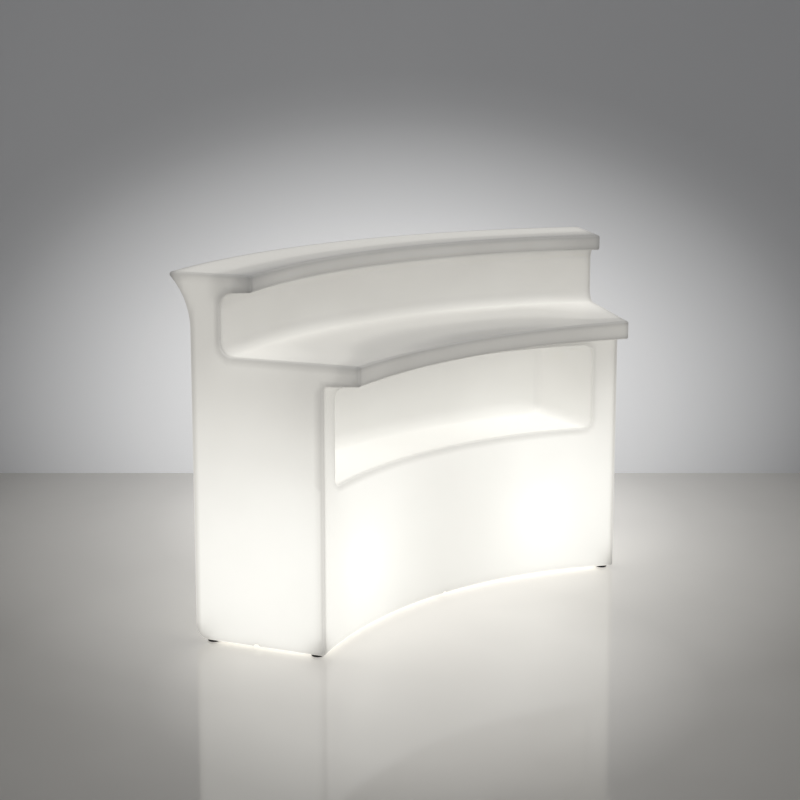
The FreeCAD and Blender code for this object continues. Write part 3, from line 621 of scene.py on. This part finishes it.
def niche(fine, coarse, turn_step, mouth_steps, skin):
    """The niche's mouth, sides and back. Returns the numbers of its outline on the inner wall."""
    shape = loop_shape(fine, coarse, turn_step)
    facing = np.stack([shape[:, 2], 0 * shape[:, 2], shape[:, 3]], -1)
    centres = niche_loop(shape, inner_wall_radius + niche_mouth_round, niche_mouth_round)
    outward = radial_in(centres)
    slope = np.where(shape[:, 3] < 0, niche_floor_slope, niche_ceiling_slope) * abs(shape[:, 3])
    sideways = unit(outward * slope[:, None] - facing)
    points, normals = [], []
    for step in range(mouth_steps + 1):
        directions = turned_between(outward, sideways, step / mouth_steps)
        points.append(centres + directions * niche_mouth_round)
        normals.append(directions)
    # The back's rounding grows from the corners' to its own along the floor and the ceiling
    from_corner = (1 - abs(shape[:, 0])) * niche_half_width / niche_round_run
    share = np.where(abs(shape[:, 3]) == 1, np.clip(from_corner, 0, 1), 0)
    rounding = niche_side_round + (niche_back_round - niche_side_round) * share
    start = inner_wall_radius + niche_mouth_round * mouth_run
    length = niche_back_radius - start - niche_back_round
    for share in spread(length, fine, coarse)[:-1] / length:
        radius = start + share * (niche_back_radius - rounding - start)
        points.append(niche_loop(shape, radius))
        normals.append(sideways)
    back_steps = round(math.pi / 2 / turn_step)
    centres = niche_loop(shape, niche_back_radius - rounding, -rounding)
    for step in range(back_steps + 1):
        directions = turned_between(sideways, radial_in(centres), step / back_steps)
        points.append(centres - directions * rounding[:, None])
        normals.append(directions)
    numbers = skin.add(np.array(points), np.array(normals))
    skin.quads(np.concatenate([numbers, numbers[:, :1]], 1))
    last = points[-1]
    flat = last[:, [0, 2]]
    low, high = flat.min(0), flat.max(0)
    places = [a + spread(b - a, fine * 2, coarse)[1:-1] for a, b in zip(low, high)]
    across, up = np.meshgrid(*places)
    inner = between(np.stack([across.ravel(), up.ravel()], -1), [flat], fine)

    def lift(places):
        deep = np.sqrt(niche_back_radius**2 - places[:, 0] ** 2)
        points = np.stack([places[:, 0], deep, places[:, 1]], -1)
        return points, radial_in(points)

    skin.fill([numbers[-1]], [flat], inner, lift)
    return numbers[0]


def inner_wall(wall_loop, niche_outline, heights, angles, fine, skin):
    """The wall on the bartender's side, round the niche's mouth."""
    points = np.concatenate(skin.points)
    loops = [wall_loop, niche_outline]
    flat = []
    for loop in loops:
        x, y, z = points[loop].T
        flat.append(np.stack([np.arctan2(x, y) * inner_wall_radius, z], -1))
    across, up = np.meshgrid(angles[1:-1] * inner_wall_radius, heights[1:])
    inner = between(np.stack([across.ravel(), up.ravel()], -1), flat, fine)

    def lift(places):
        turn = places[:, 0] / inner_wall_radius
        direction = np.stack([np.sin(turn), np.cos(turn), 0 * turn], -1)
        rise = np.array([0, 0, 1]) * places[:, 1:]
        return direction * inner_wall_radius + rise, -direction

    skin.fill(loops, flat, inner, lift)


def placed(name, data):
    """A new object in the scene."""
    piece = bpy.data.objects.new(name, data)
    bpy.context.scene.collection.objects.link(piece)
    return piece


def mesh_of(name, points, faces):
    """A mesh in the row frame, with doubled points joined and its faces turned outward."""
    mesh = bpy.data.meshes.new(name)
    points = np.clip(points - np.array([0, arc_back, 0]), *cad_box)
    mesh.from_pydata(points.tolist(), [], faces)
    shape = bmesh.new()
    shape.from_mesh(mesh)
    bmesh.ops.remove_doubles(shape, verts=shape.verts, dist=joined_within)
    bmesh.ops.dissolve_degenerate(shape, dist=degenerate_under, edges=shape.edges)
    bmesh.ops.delete(shape, geom=[v for v in shape.verts if not v.link_faces], context="VERTS")
    bmesh.ops.recalc_face_normals(shape, faces=shape.faces)
    shape.to_mesh(mesh)
    shape.free()
    return mesh


def body(name, fine, coarse, turn_step, end_steps, inset):
    """The closed outer skin, or with an inset the cavity that follows it."""
    skin = Skin()
    wall_loop, heights, angles, end_loops = ring(fine, coarse, turn_step, end_steps, skin)
    outline = niche(fine, coarse, turn_step, end_steps, skin)
    inner_wall(wall_loop, outline, heights, angles, fine, skin)
    end_faces(end_loops, coarse, skin)
    points = np.concatenate(skin.points) - np.concatenate(skin.normals) * inset
    return mesh_of(name, points, skin.faces)


def add_turned(shape, centre, steps):
    """Adds a closed upright turned solid to a bmesh, from (radius, bottom, top) steps in order."""
    segments = round_segments if steps[0][0] > small_bore else bore_segments
    turns = [2 * math.pi * step / segments for step in range(segments)]
    rings = []
    for radius, *levels in steps:
        for level in levels:
            places = [(radius * math.cos(turn), radius * math.sin(turn), level) for turn in turns]
            rings.append([shape.verts.new((centre.x + x, centre.y + y, z)) for x, y, z in places])
    join_rings(shape, rings)


def join_rings(shape, rings):
    """Faces between neighbouring rings of points, and over the first and the last."""
    for ring_a, ring_b in zip(rings, rings[1:]):
        for a, b, c, d in zip(ring_a, ring_a[1:] + ring_a[:1], ring_b[1:] + ring_b[:1], ring_b):
            shape.faces.new((a, b, c, d))
    shape.faces.new(rings[0][::-1])
    shape.faces.new(rings[-1])


def add_channel(shape, grow, route):
    """Adds a half-round channel along a route of (middle, sideways) places, closed at its ends."""
    half = channel_width / 2 + grow
    rise = channel_depth + grow
    curve = (half**2 + rise**2) / (2 * rise)
    spring = math.asin(half / curve)
    section = [(-half, -overrun)]
    for turn in np.linspace(-spring, spring, channel_points):
        drop = curve * (1 - math.cos(turn))
        section.append((curve * math.sin(turn), base_level + rise - drop))
    section.append((half, -overrun))
    rings = []
    for middle, sideways in route:
        places = [(middle + sideways * across, level) for across, level in section]
        rings.append([shape.verts.new((*plan, level)) for plan, level in places])
    join_rings(shape, rings)


def long_channel(shape, grow):
    """The cord channel from end to end under the base."""
    angles = np.linspace(-channel_reach, channel_reach, channel_steps) * half_angle
    directions = [plan_direction(angle) for angle in angles]
    back = np.array([0, arc_back])
    add_channel(shape, grow, [(d * channel_radius - back, d) for d in directions])


def middle_channel(shape, grow):
    """The cord channel from the long one to the middle of the inner wall."""
    reach = [inner_wall_radius - overrun, channel_radius]
    sideways = np.array([1, 0])
    add_channel(shape, grow, [(np.array([0, radius - arc_back]), sideways) for radius in reach])


def centre_of(node):
    low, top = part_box(node)
    return (low + top) / 2


def screw_places(centre, opening, recess):
    turns = [math.pi / 4 + quarter * math.pi / 2 for quarter in range(4)]
    circle = (opening + recess) / 2
    axis = Vector((0, -arc_back, 0))
    turned = math.atan2(centre.x - axis.x, centre.y - axis.y)
    return [
        centre + Vector((circle * math.cos(turn - turned), circle * math.sin(turn - turned), 0))
        for turn in turns
    ]


def solid(name, build, *sizes):
    shape = bmesh.new()
    build(shape, *sizes)
    bmesh.ops.recalc_face_normals(shape, faces=shape.faces)
    mesh = bpy.data.meshes.new(name)
    shape.to_mesh(mesh)
    shape.free()
    return mesh


def carved(mesh, cutters):
    """The mesh with the other meshes cut out of it."""
    group = bpy.data.collections.new("cutters")
    pieces = [bpy.data.objects.new(part.name, part) for part in [mesh, *cutters]]
    for piece in pieces[1:]:
        group.objects.link(piece)
    bpy.context.scene.collection.children.link(group)
    bpy.context.scene.collection.objects.link(pieces[0])
    cut = pieces[0].modifiers.new("cut", "BOOLEAN")
    cut.operation, cut.solver = "DIFFERENCE", "MANIFOLD"
    cut.operand_type, cut.collection = "COLLECTION", group
    graph = bpy.context.evaluated_depsgraph_get()
    result = bpy.data.meshes.new_from_object(pieces[0].evaluated_get(graph))
    for piece in pieces:
        bpy.data.objects.remove(piece)
    bpy.data.collections.remove(group)
    return result


feet = sorted(name for name in frame["nodes"] if name.startswith("foot_pad"))
hatches = [
    ("hatch_gasket_left", lamp_opening),
    ("hatch_gasket_right", lamp_opening),
    ("supply_gasket", supply_opening),
]


def hatch_sizes():
    """Centre, recess radius, ceiling and opening of each hatch."""
    sizes = []
    for seal, opening in hatches:
        low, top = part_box(seal)
        recess = (top.x - low.x) / 2 + hatch_rim_gap
        sizes.append((centre_of(seal), recess, top.z, opening))
    return sizes


def pockets(shape, grow):
    """Hatch recesses, foot bores and the vent, or with grow the ground that stands up over them."""
    for centre, recess, ceiling, opening in hatch_sizes():
        steps = [(recess + grow, -overrun, ceiling + grow)]
        if not grow:
            steps.append((opening, ceiling, ceiling + 2 * wall))
        add_turned(shape, centre, steps)
    for foot in feet:
        boss = [(foot_boss_radius, -overrun, foot_boss_top)]
        add_turned(shape, centre_of(foot), boss if grow else foot_bores)
    if not grow:
        vent = [(vent_bore, -overrun, base_level + wall + overrun)]
        add_turned(shape, centre_of("vent_plug"), vent)


def screw_posts(shape, radius, rise):
    for centre, recess, ceiling, opening in hatch_sizes():
        for place in screw_places(centre, opening, recess):
            add_turned(shape, place, [(radius, ceiling - wall / 2, ceiling + rise)])


# Light from the lamps, spread inside the shell and let through its wall

def spiral(count):
    """Directions about +Z, even for light that falls with the cosine."""
    step = np.arange(count) + 0.5
    reach = np.sqrt(step / count)
    turn = step * math.pi * (3 - math.sqrt(5))
    return np.stack([reach * np.cos(turn), reach * np.sin(turn), np.sqrt(1 - reach**2)], -1)


def facing(normals, directions):
    """The directions turned from +Z to each normal by the shortest way."""
    x, y, z = normals.T
    z = np.maximum(z, same_point - 1)
    share = 1 / (1 + z)
    first = np.stack([1 - x * x * share, -x * y * share, -x], -1)
    second = np.stack([-x * y * share, 1 - y * y * share, -y], -1)
    mixed = [first[:, None], second[:, None], normals[:, None]]
    return sum(axis * directions[None, :, k, None] for k, axis in enumerate(mixed))


def lamps():
    """Centres and radii of the lamps' globes."""
    found = []
    for name in sorted(frame["nodes"]):
        if name.startswith("lamp_globe"):
            low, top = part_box(name)
            radius = (top.x - low.x) / 2
            centre = centre_of(name)
            centre.z = top.z - radius
            found.append((np.array(centre), radius))
    return found


def lamp_light(tree, points, inward):
    """Light that falls on each point straight from the lamps."""
    total = np.zeros(len(points))
    spots = spiral(lamp_points)
    for centre, radius in lamps():
        towards = centre - points
        distance = np.linalg.norm(towards, axis=1)
        towards /= distance[:, None]
        cosine = np.clip((towards * inward).sum(1), 0, 1)
        share = cosine * (radius / distance) ** 2
        ends = centre + facing(-towards, spots) * radius
        for number in np.flatnonzero(share > 0):
            seen = 0
            start = Vector(points[number])
            for end in ends[number]:
                way = Vector(end) - start
                seen += tree.ray_cast(start, way, way.length)[0] is None
            total[number] += share[number] * seen / lamp_points
    return total


def struck(tree, points, inward, count):
    """Numbers of the patches that each point sees along its directions, 0 for a rare miss."""
    ways = facing(inward, spiral(count))
    numbers = np.zeros((len(points), count), int)
    for row, (point, directions) in enumerate(zip(points, ways)):
        start = Vector(point)
        for column, direction in enumerate(directions):
            numbers[row, column] = tree.ray_cast(start, Vector(direction))[2] or 0
    return numbers


def light_inside(mesh):
    """The cavity's patches as a tree, and the light that each one gives back."""
    shape = bmesh.new()
    shape.from_mesh(mesh)
    bmesh.ops.triangulate(shape, faces=shape.faces)
    tree = BVHTree.FromBMesh(shape)
    middles = np.array([face.calc_center_median() for face in shape.faces])
    inward = -np.array([face.normal for face in shape.faces])
    shape.free()
    points = middles + inward * clear_of_wall
    straight = lamp_light(tree, points, inward)
    seen = struck(tree, points, inward, patch_rays)
    given = inner_reflection * straight
    for _ in range(bounces):
        given = inner_reflection * (straight + given[seen].mean(1))
    return tree, given


def glow_on(mesh, skin_mesh, cavity_mesh):
    """How bright each point of the skin is from the light that reaches the wall behind it, first
    less what the skin and the floor around it add by themselves, and then in all."""
    tree, given = light_inside(cavity_mesh)
    count = len(mesh.vertices)
    points, normals = np.zeros((2, count * 3))
    mesh.vertices.foreach_get("co", points)
    mesh.vertex_normals.foreach_get("vector", normals)
    points, normals = points.reshape(-1, 3), normals.reshape(-1, 3)
    behind = points - normals * (wall + clear_of_wall)
    light = lamp_light(tree, behind, -normals)
    light += given[struck(tree, behind, -normals, skin_rays)].mean(1)
    light = smoothed(mesh, light)
    behind_wall, outside = np.array(wall_response).T
    shown = np.interp(np.log(light), np.log(behind_wall), outside)
    skin = tree_of(skin_mesh)
    # Painted shade along the outer corners and painted light in the folds
    corners = near_by(skin, points, -normals, corner_reach)
    corners *= np.clip(points[:, 2] / base_edge, 0, 1)
    folds = near_by(skin, points, normals, fold_reach)
    shown *= (1 - corner_shade * corners) * (1 + fold_light_gain * folds)
    spread_light = outer_reflection * smoothed(mesh, light_across(mesh, points, normals, shown))
    return np.maximum(shown - spread_light, 0), shown


def smoothed(mesh, values):
    """The values of a mesh's points, each mixed with its neighbours' a few times."""
    ends = np.zeros(len(mesh.edges) * 2, int)
    mesh.edges.foreach_get("vertices", ends)
    ends = ends.reshape(-1, 2)
    count = len(values)
    neighbours = np.bincount(ends.ravel(), minlength=count)
    for _ in range(glow_smoothing):
        total = np.bincount(ends[:, 0], values[ends[:, 1]], count)
        total += np.bincount(ends[:, 1], values[ends[:, 0]], count)
        values = (values + total / neighbours) / 2
    return values


def tree_of(mesh):
    places = [vertex.co for vertex in mesh.vertices]
    return BVHTree.FromPolygons(places, [face.vertices for face in mesh.polygons])


def near_by(tree, points, facing_to, reach):
    """How much of the skin lies within reach on one side of each point: nearer counts for more."""
    ways = facing(facing_to, spiral(corner_rays))
    starts = points + facing_to * clear_of_wall / 2
    found = np.zeros(len(points))
    for row, (start, directions) in enumerate(zip(starts, ways)):
        start = Vector(start)
        for direction in directions:
            way = tree.ray_cast(start, Vector(direction), reach)[3]
            found[row] += 0 if way is None else 1 - way / reach
    return found / corner_rays


def light_across(mesh, points, normals, shown):
    """Light that each point of the skin gets from the skin across from it and from the floor."""
    tree = tree_of(mesh)
    corners = [list(face.vertices) for face in mesh.polygons]
    given = np.array([shown[corner].mean() for corner in corners])
    ways = facing(normals, spiral(across_rays))
    starts = points + normals * clear_of_wall
    total = np.zeros(len(points))
    # Less for the underside, whose light stays in the gap over the floor
    floor_light = floor_glow * np.clip(1 + normals[:, 2], underside_floor_share, 1)
    for row, (start, directions) in enumerate(zip(starts, ways)):
        start = Vector(start)
        for direction in directions:
            way = Vector(direction)
            number = tree.ray_cast(start, way)[2]
            if number is not None:
                total[row] += given[number]
            elif way.z < 0:
                distance = start.z * way.xy.length / -way.z
                total[row] += floor_light[row] * math.exp(-distance / floor_glow_reach)
    return total / across_rays


outer = body("shell_skin", *skin_fineness, 0)
inner = body("shell_inside", *cavity_fineness, wall)
raised = [
    solid("ground", pockets, wall),
    solid("bosses", screw_posts, screw_boss_radius, screw_boss_height),
    solid("long_ground", long_channel, wall),
    solid("middle_ground", middle_channel, wall),
]
cavity = carved(inner, raised)
opened = [
    cavity,
    solid("pockets", pockets, 0),
    solid("bores", screw_posts, screw_bore_radius, screw_bore_depth),
    solid("long_channel", long_channel, 0),
    solid("middle_channel", middle_channel, 0),
]
shell = placed("shell", carved(outer, opened))
shell.data.shade_smooth()
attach(shell, "counter")
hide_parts("counter_shell")
for name, values in zip(("glow", "whole_glow"), glow_on(shell.data, outer, cavity)):
    attribute = shell.data.attributes.new(name, "FLOAT", "POINT")
    attribute.data.foreach_set("value", values)

camera = placed("camera", bpy.data.cameras.new("camera"))
camera.location = camera_place
camera.rotation_euler = (math.pi / 2 - camera_drop, 0, -camera_turn)
camera.data.lens = camera_lens
camera.data.shift_y = camera_shift
bpy.context.scene.camera = camera

into_view = Vector((math.sin(camera_turn), math.cos(camera_turn), 0))
to_right = Vector((math.cos(camera_turn), -math.sin(camera_turn), 0))


def stage_mesh(name, profile):
    """A strip across the view, from (distance, height) steps away from the camera."""
    shape = bmesh.new()
    start = Vector((camera.location.x, camera.location.y, 0))
    rings = []
    for distance, level in profile:
        middle = start + into_view * distance + Vector((0, 0, level))
        ends = [middle + to_right * side for side in (-sweep_side, sweep_side)]
        rings.append([shape.verts.new(end) for end in ends])
    for ring_a, ring_b in zip(rings, rings[1:]):
        shape.faces.new((*ring_a, *ring_b[::-1]))
    mesh = bpy.data.meshes.new(name)
    shape.to_mesh(mesh)
    shape.free()
    piece = placed(name, mesh)
    return piece


floor = stage_mesh("floor", [(-sweep_front, 0), (sweep_distance + sweep_front, 0)])
backdrop = stage_mesh("backdrop", [(sweep_distance, 0), (sweep_distance, sweep_top)])


# Materials

def node_maker(tree):
    """Adds nodes to a tree, with each input a value or another node's output."""

    def node(kind, inputs=None, **settings):
        made = tree.nodes.new("ShaderNode" + kind)
        for setting, value in settings.items():
            setattr(made, setting, value)
        for socket, value in (inputs or {}).items():
            if isinstance(value, bpy.types.NodeSocket):
                tree.links.new(value, made.inputs[socket])
            else:
                made.inputs[socket].default_value = value
        return made

    return node


def new_material(name):
    material = bpy.data.materials.new(name)
    material.use_nodes = True
    tree = material.node_tree
    return material, tree.nodes["Principled BSDF"], node_maker(tree), tree.links.new


def ramp(node, source, steps):
    """Colours or greys along a 0 to 1 source, as (place, value) steps."""
    made = node("ValToRGB", {"Fac": source})
    stops = made.color_ramp.elements
    while len(stops) < len(steps):
        stops.new(0)
    for stop, (place, value) in zip(stops, steps):
        stop.position = place
        stop.color = (*value, 1) if isinstance(value, tuple) else (value, value, value, 1)
    return made.outputs["Color"]


def noise(node, place, scale, detail):
    return node("TexNoise", {"Vector": place, "Scale": scale, "Detail": detail}).outputs["Fac"]


def varied(node, source, values, span=noise_span):
    """From the first of two values to the other over the span of a noise."""
    return ramp(node, source, list(zip(span, values)))


def multiplied(node, first, second):
    inputs = {"Factor": 1, "A": first, "B": second}
    return node("Mix", inputs, data_type="RGBA", blend_type="MULTIPLY").outputs["Result"]


def bumps(node, height, strength, depth):
    inputs = {"Height": height, "Strength": strength, "Distance": depth}
    return node("Bump", inputs).outputs["Normal"]


def seen_directly(node):
    """1 for rays from the camera, also by way of gloss or glass, and 0 for the rest."""
    path = node("LightPath").outputs
    seen = node("Math", {0: path["Is Camera Ray"], 1: path["Is Glossy Ray"]}, operation="MAXIMUM")
    rays = {0: seen.outputs[0], 1: path["Is Transmission Ray"]}
    return node("Math", rays, operation="MAXIMUM").outputs[0]


def patch(node, surface, place, centre, radius, flat, steps):
    """The surface with a painted soft pool of light on it, which lights nothing."""
    moved = node("VectorMath", {0: place, 1: tuple(-centre)}, operation="ADD").outputs[0]
    scale = {0: moved, 1: (1 / radius, 1 / radius, flat / radius)}
    away = node("VectorMath", scale, operation="MULTIPLY").outputs[0]
    reach = node("VectorMath", {0: away}, operation="LENGTH").outputs["Value"]
    light = {"Color": ramp(node, reach, steps), "Strength": seen_directly(node)}
    bright = node("Emission", light)
    return node("AddShader", {0: surface, 1: bright.outputs[0]}).outputs[0]


def floor_paint():
    material, shader, node, link = new_material("floor_paint")
    place = node("TexCoord").outputs["Object"]
    cloudy = noise(node, place, floor_clouds, 3)
    fine = noise(node, place, floor_grain, 2)
    link(varied(node, cloudy, floor_colours), shader.inputs["Base Color"])
    link(varied(node, cloudy, floor_roughness), shader.inputs["Roughness"])
    shader.inputs["Specular IOR Level"].default_value = floor_specular
    grain = bumps(node, fine, floor_grain_strength, floor_grain_depth)
    link(grain, shader.inputs["Normal"])
    lit = shader.outputs[0]
    # Painted glow and reflection of the counter on the floor
    for behind, radius, steps in floor_light_pools:
        tinted = []
        for share, light in steps:
            tinted.append((share, tuple(light * tint for tint in floor_light_tint)))
        lit = patch(node, lit, place, into_view * behind, radius, 1, tinted)
    link(lit, material.node_tree.nodes["Material Output"].inputs["Surface"])
    return material


def backdrop_paper():
    """Grey paper, clear from behind so that it hides nothing from there."""
    material, shader, node, link = new_material("backdrop_paper")
    place = node("TexCoord").outputs["Object"]
    cloudy = noise(node, place, paper_clouds, 2)
    link(varied(node, cloudy, paper_colours), shader.inputs["Base Color"])
    link(varied(node, cloudy, paper_roughness), shader.inputs["Roughness"])
    # A painted pool of light on the paper behind the counter
    centre = Vector((*camera_place[:2], backdrop_light_pool_height)) + into_view * sweep_distance
    radius, flat = backdrop_light_pool_radius, backdrop_light_pool_flat
    lit = patch(node, shader.outputs[0], place, centre, radius, flat, backdrop_light_pool)
    behind = node("NewGeometry").outputs["Backfacing"]
    clear = node("BsdfTransparent").outputs[0]
    mixed = node("MixShader", {0: behind, 1: lit, 2: clear}).outputs[0]
    link(mixed, material.node_tree.nodes["Material Output"].inputs["Surface"])
    return material


def finish(slot):
    """Material of one slot: colour and roughness vary softly, and the surface has a fine grain."""
    dark, light, (smooth, rough), metallic, grain, depth = finishes[slot]
    material, shader, node, link = new_material(slot)
    place = node("TexCoord").outputs["Object"]
    soft = noise(node, place, grain / cloud_size, 4)
    if metallic:
        # Crystals of a plated surface
        fine = node("TexVoronoi", {"Vector": place, "Scale": grain}).outputs["Distance"]
    else:
        fine = noise(node, place, grain, 3)
    mixed = node("Mix", {"Factor": grain_share, "A": soft, "B": fine}).outputs["Result"]
    link(varied(node, mixed, (dark, light), mixed_span), shader.inputs["Base Color"])
    link(varied(node, mixed, (rough, smooth), mixed_span), shader.inputs["Roughness"])
    shader.inputs["Metallic"].default_value = metallic
    link(bumps(node, fine, grain_strength, depth), shader.inputs["Normal"])
    if slot == "lamp_opal":
        link(varied(node, soft, opal_glow), shader.inputs["Emission Color"])
        shader.inputs["Emission Strength"].default_value = 1
        material.cycles.emission_sampling = "NONE"
    return material


floor.data.materials.append(floor_paint())
backdrop.data.materials.append(backdrop_paper())
made = {slot: finish(slot) for slot in finishes}
for piece in frame["record"]["subparts"]:
    slot = piece["material_slot"]
    if slot in made:
        mesh = frame["nodes"][piece["node"]].data
        mesh.materials.clear()
        mesh.materials.append(made[slot])


def shell_plastic():
    """White moulded polyethylene, lit from inside as the point attributes say."""
    material, shader, node, link = new_material("shell_plastic")
    place = node("TexCoord").outputs["Object"]
    soft = noise(node, place, shell_clouds, 3)
    fine = noise(node, place, shell_grain, 2)
    link(varied(node, soft, shell_colours), shader.inputs["Base Color"])
    link(varied(node, soft, shell_roughness), shader.inputs["Roughness"])
    grain = bumps(node, fine, shell_grain_strength, shell_grain_depth)
    link(grain, shader.inputs["Normal"])
    whole = node("Attribute", attribute_name="whole_glow").outputs["Fac"]
    glow_here = node("Attribute", attribute_name="glow").outputs["Fac"]
    mottled = varied(node, soft, shell_mottling)
    tinted = multiplied(node, ramp(node, whole, glow_colours), mottled)
    lit = multiplied(node, tinted, ramp(node, glow_here, [(0, 0.0), (1, 1.0)]))
    link(lit, shader.inputs["Emission Color"])
    shader.inputs["Emission Strength"].default_value = 1
    # The glow lights what is near without being sampled as a lamp, which is quicker
    material.cycles.emission_sampling = "NONE"
    return material


shell.data.materials.clear()
shell.data.materials.append(shell_plastic())

world = bpy.data.worlds.new("world")
world.use_nodes = True
sky_node = node_maker(world.node_tree)
greys = {"A": (*[room_light] * 3, 1), "B": (*[room_seen] * 3, 1)}
sky = sky_node("Mix", {"Factor": seen_directly(sky_node), **greys}, data_type="RGBA")
background = world.node_tree.nodes["Background"]
world.node_tree.links.new(sky.outputs["Result"], background.inputs["Color"])
bpy.context.scene.world = world
bpy.context.scene.view_settings.view_transform = "Standard"

lamp = bpy.data.lights.new("soft_top", "AREA")
lamp.shape, lamp.size, lamp.energy = "DISK", room_lamp_size, room_lamp_power
soft_top = placed("soft_top", lamp)
soft_top.location = room_lamp_place
way_down = Vector(room_lamp_aim) - Vector(room_lamp_place)
soft_top.rotation_euler = way_down.to_track_quat("-Z", "Y").to_euler()
# Its round image stays out of the glossy floor
soft_top.visible_glossy = False
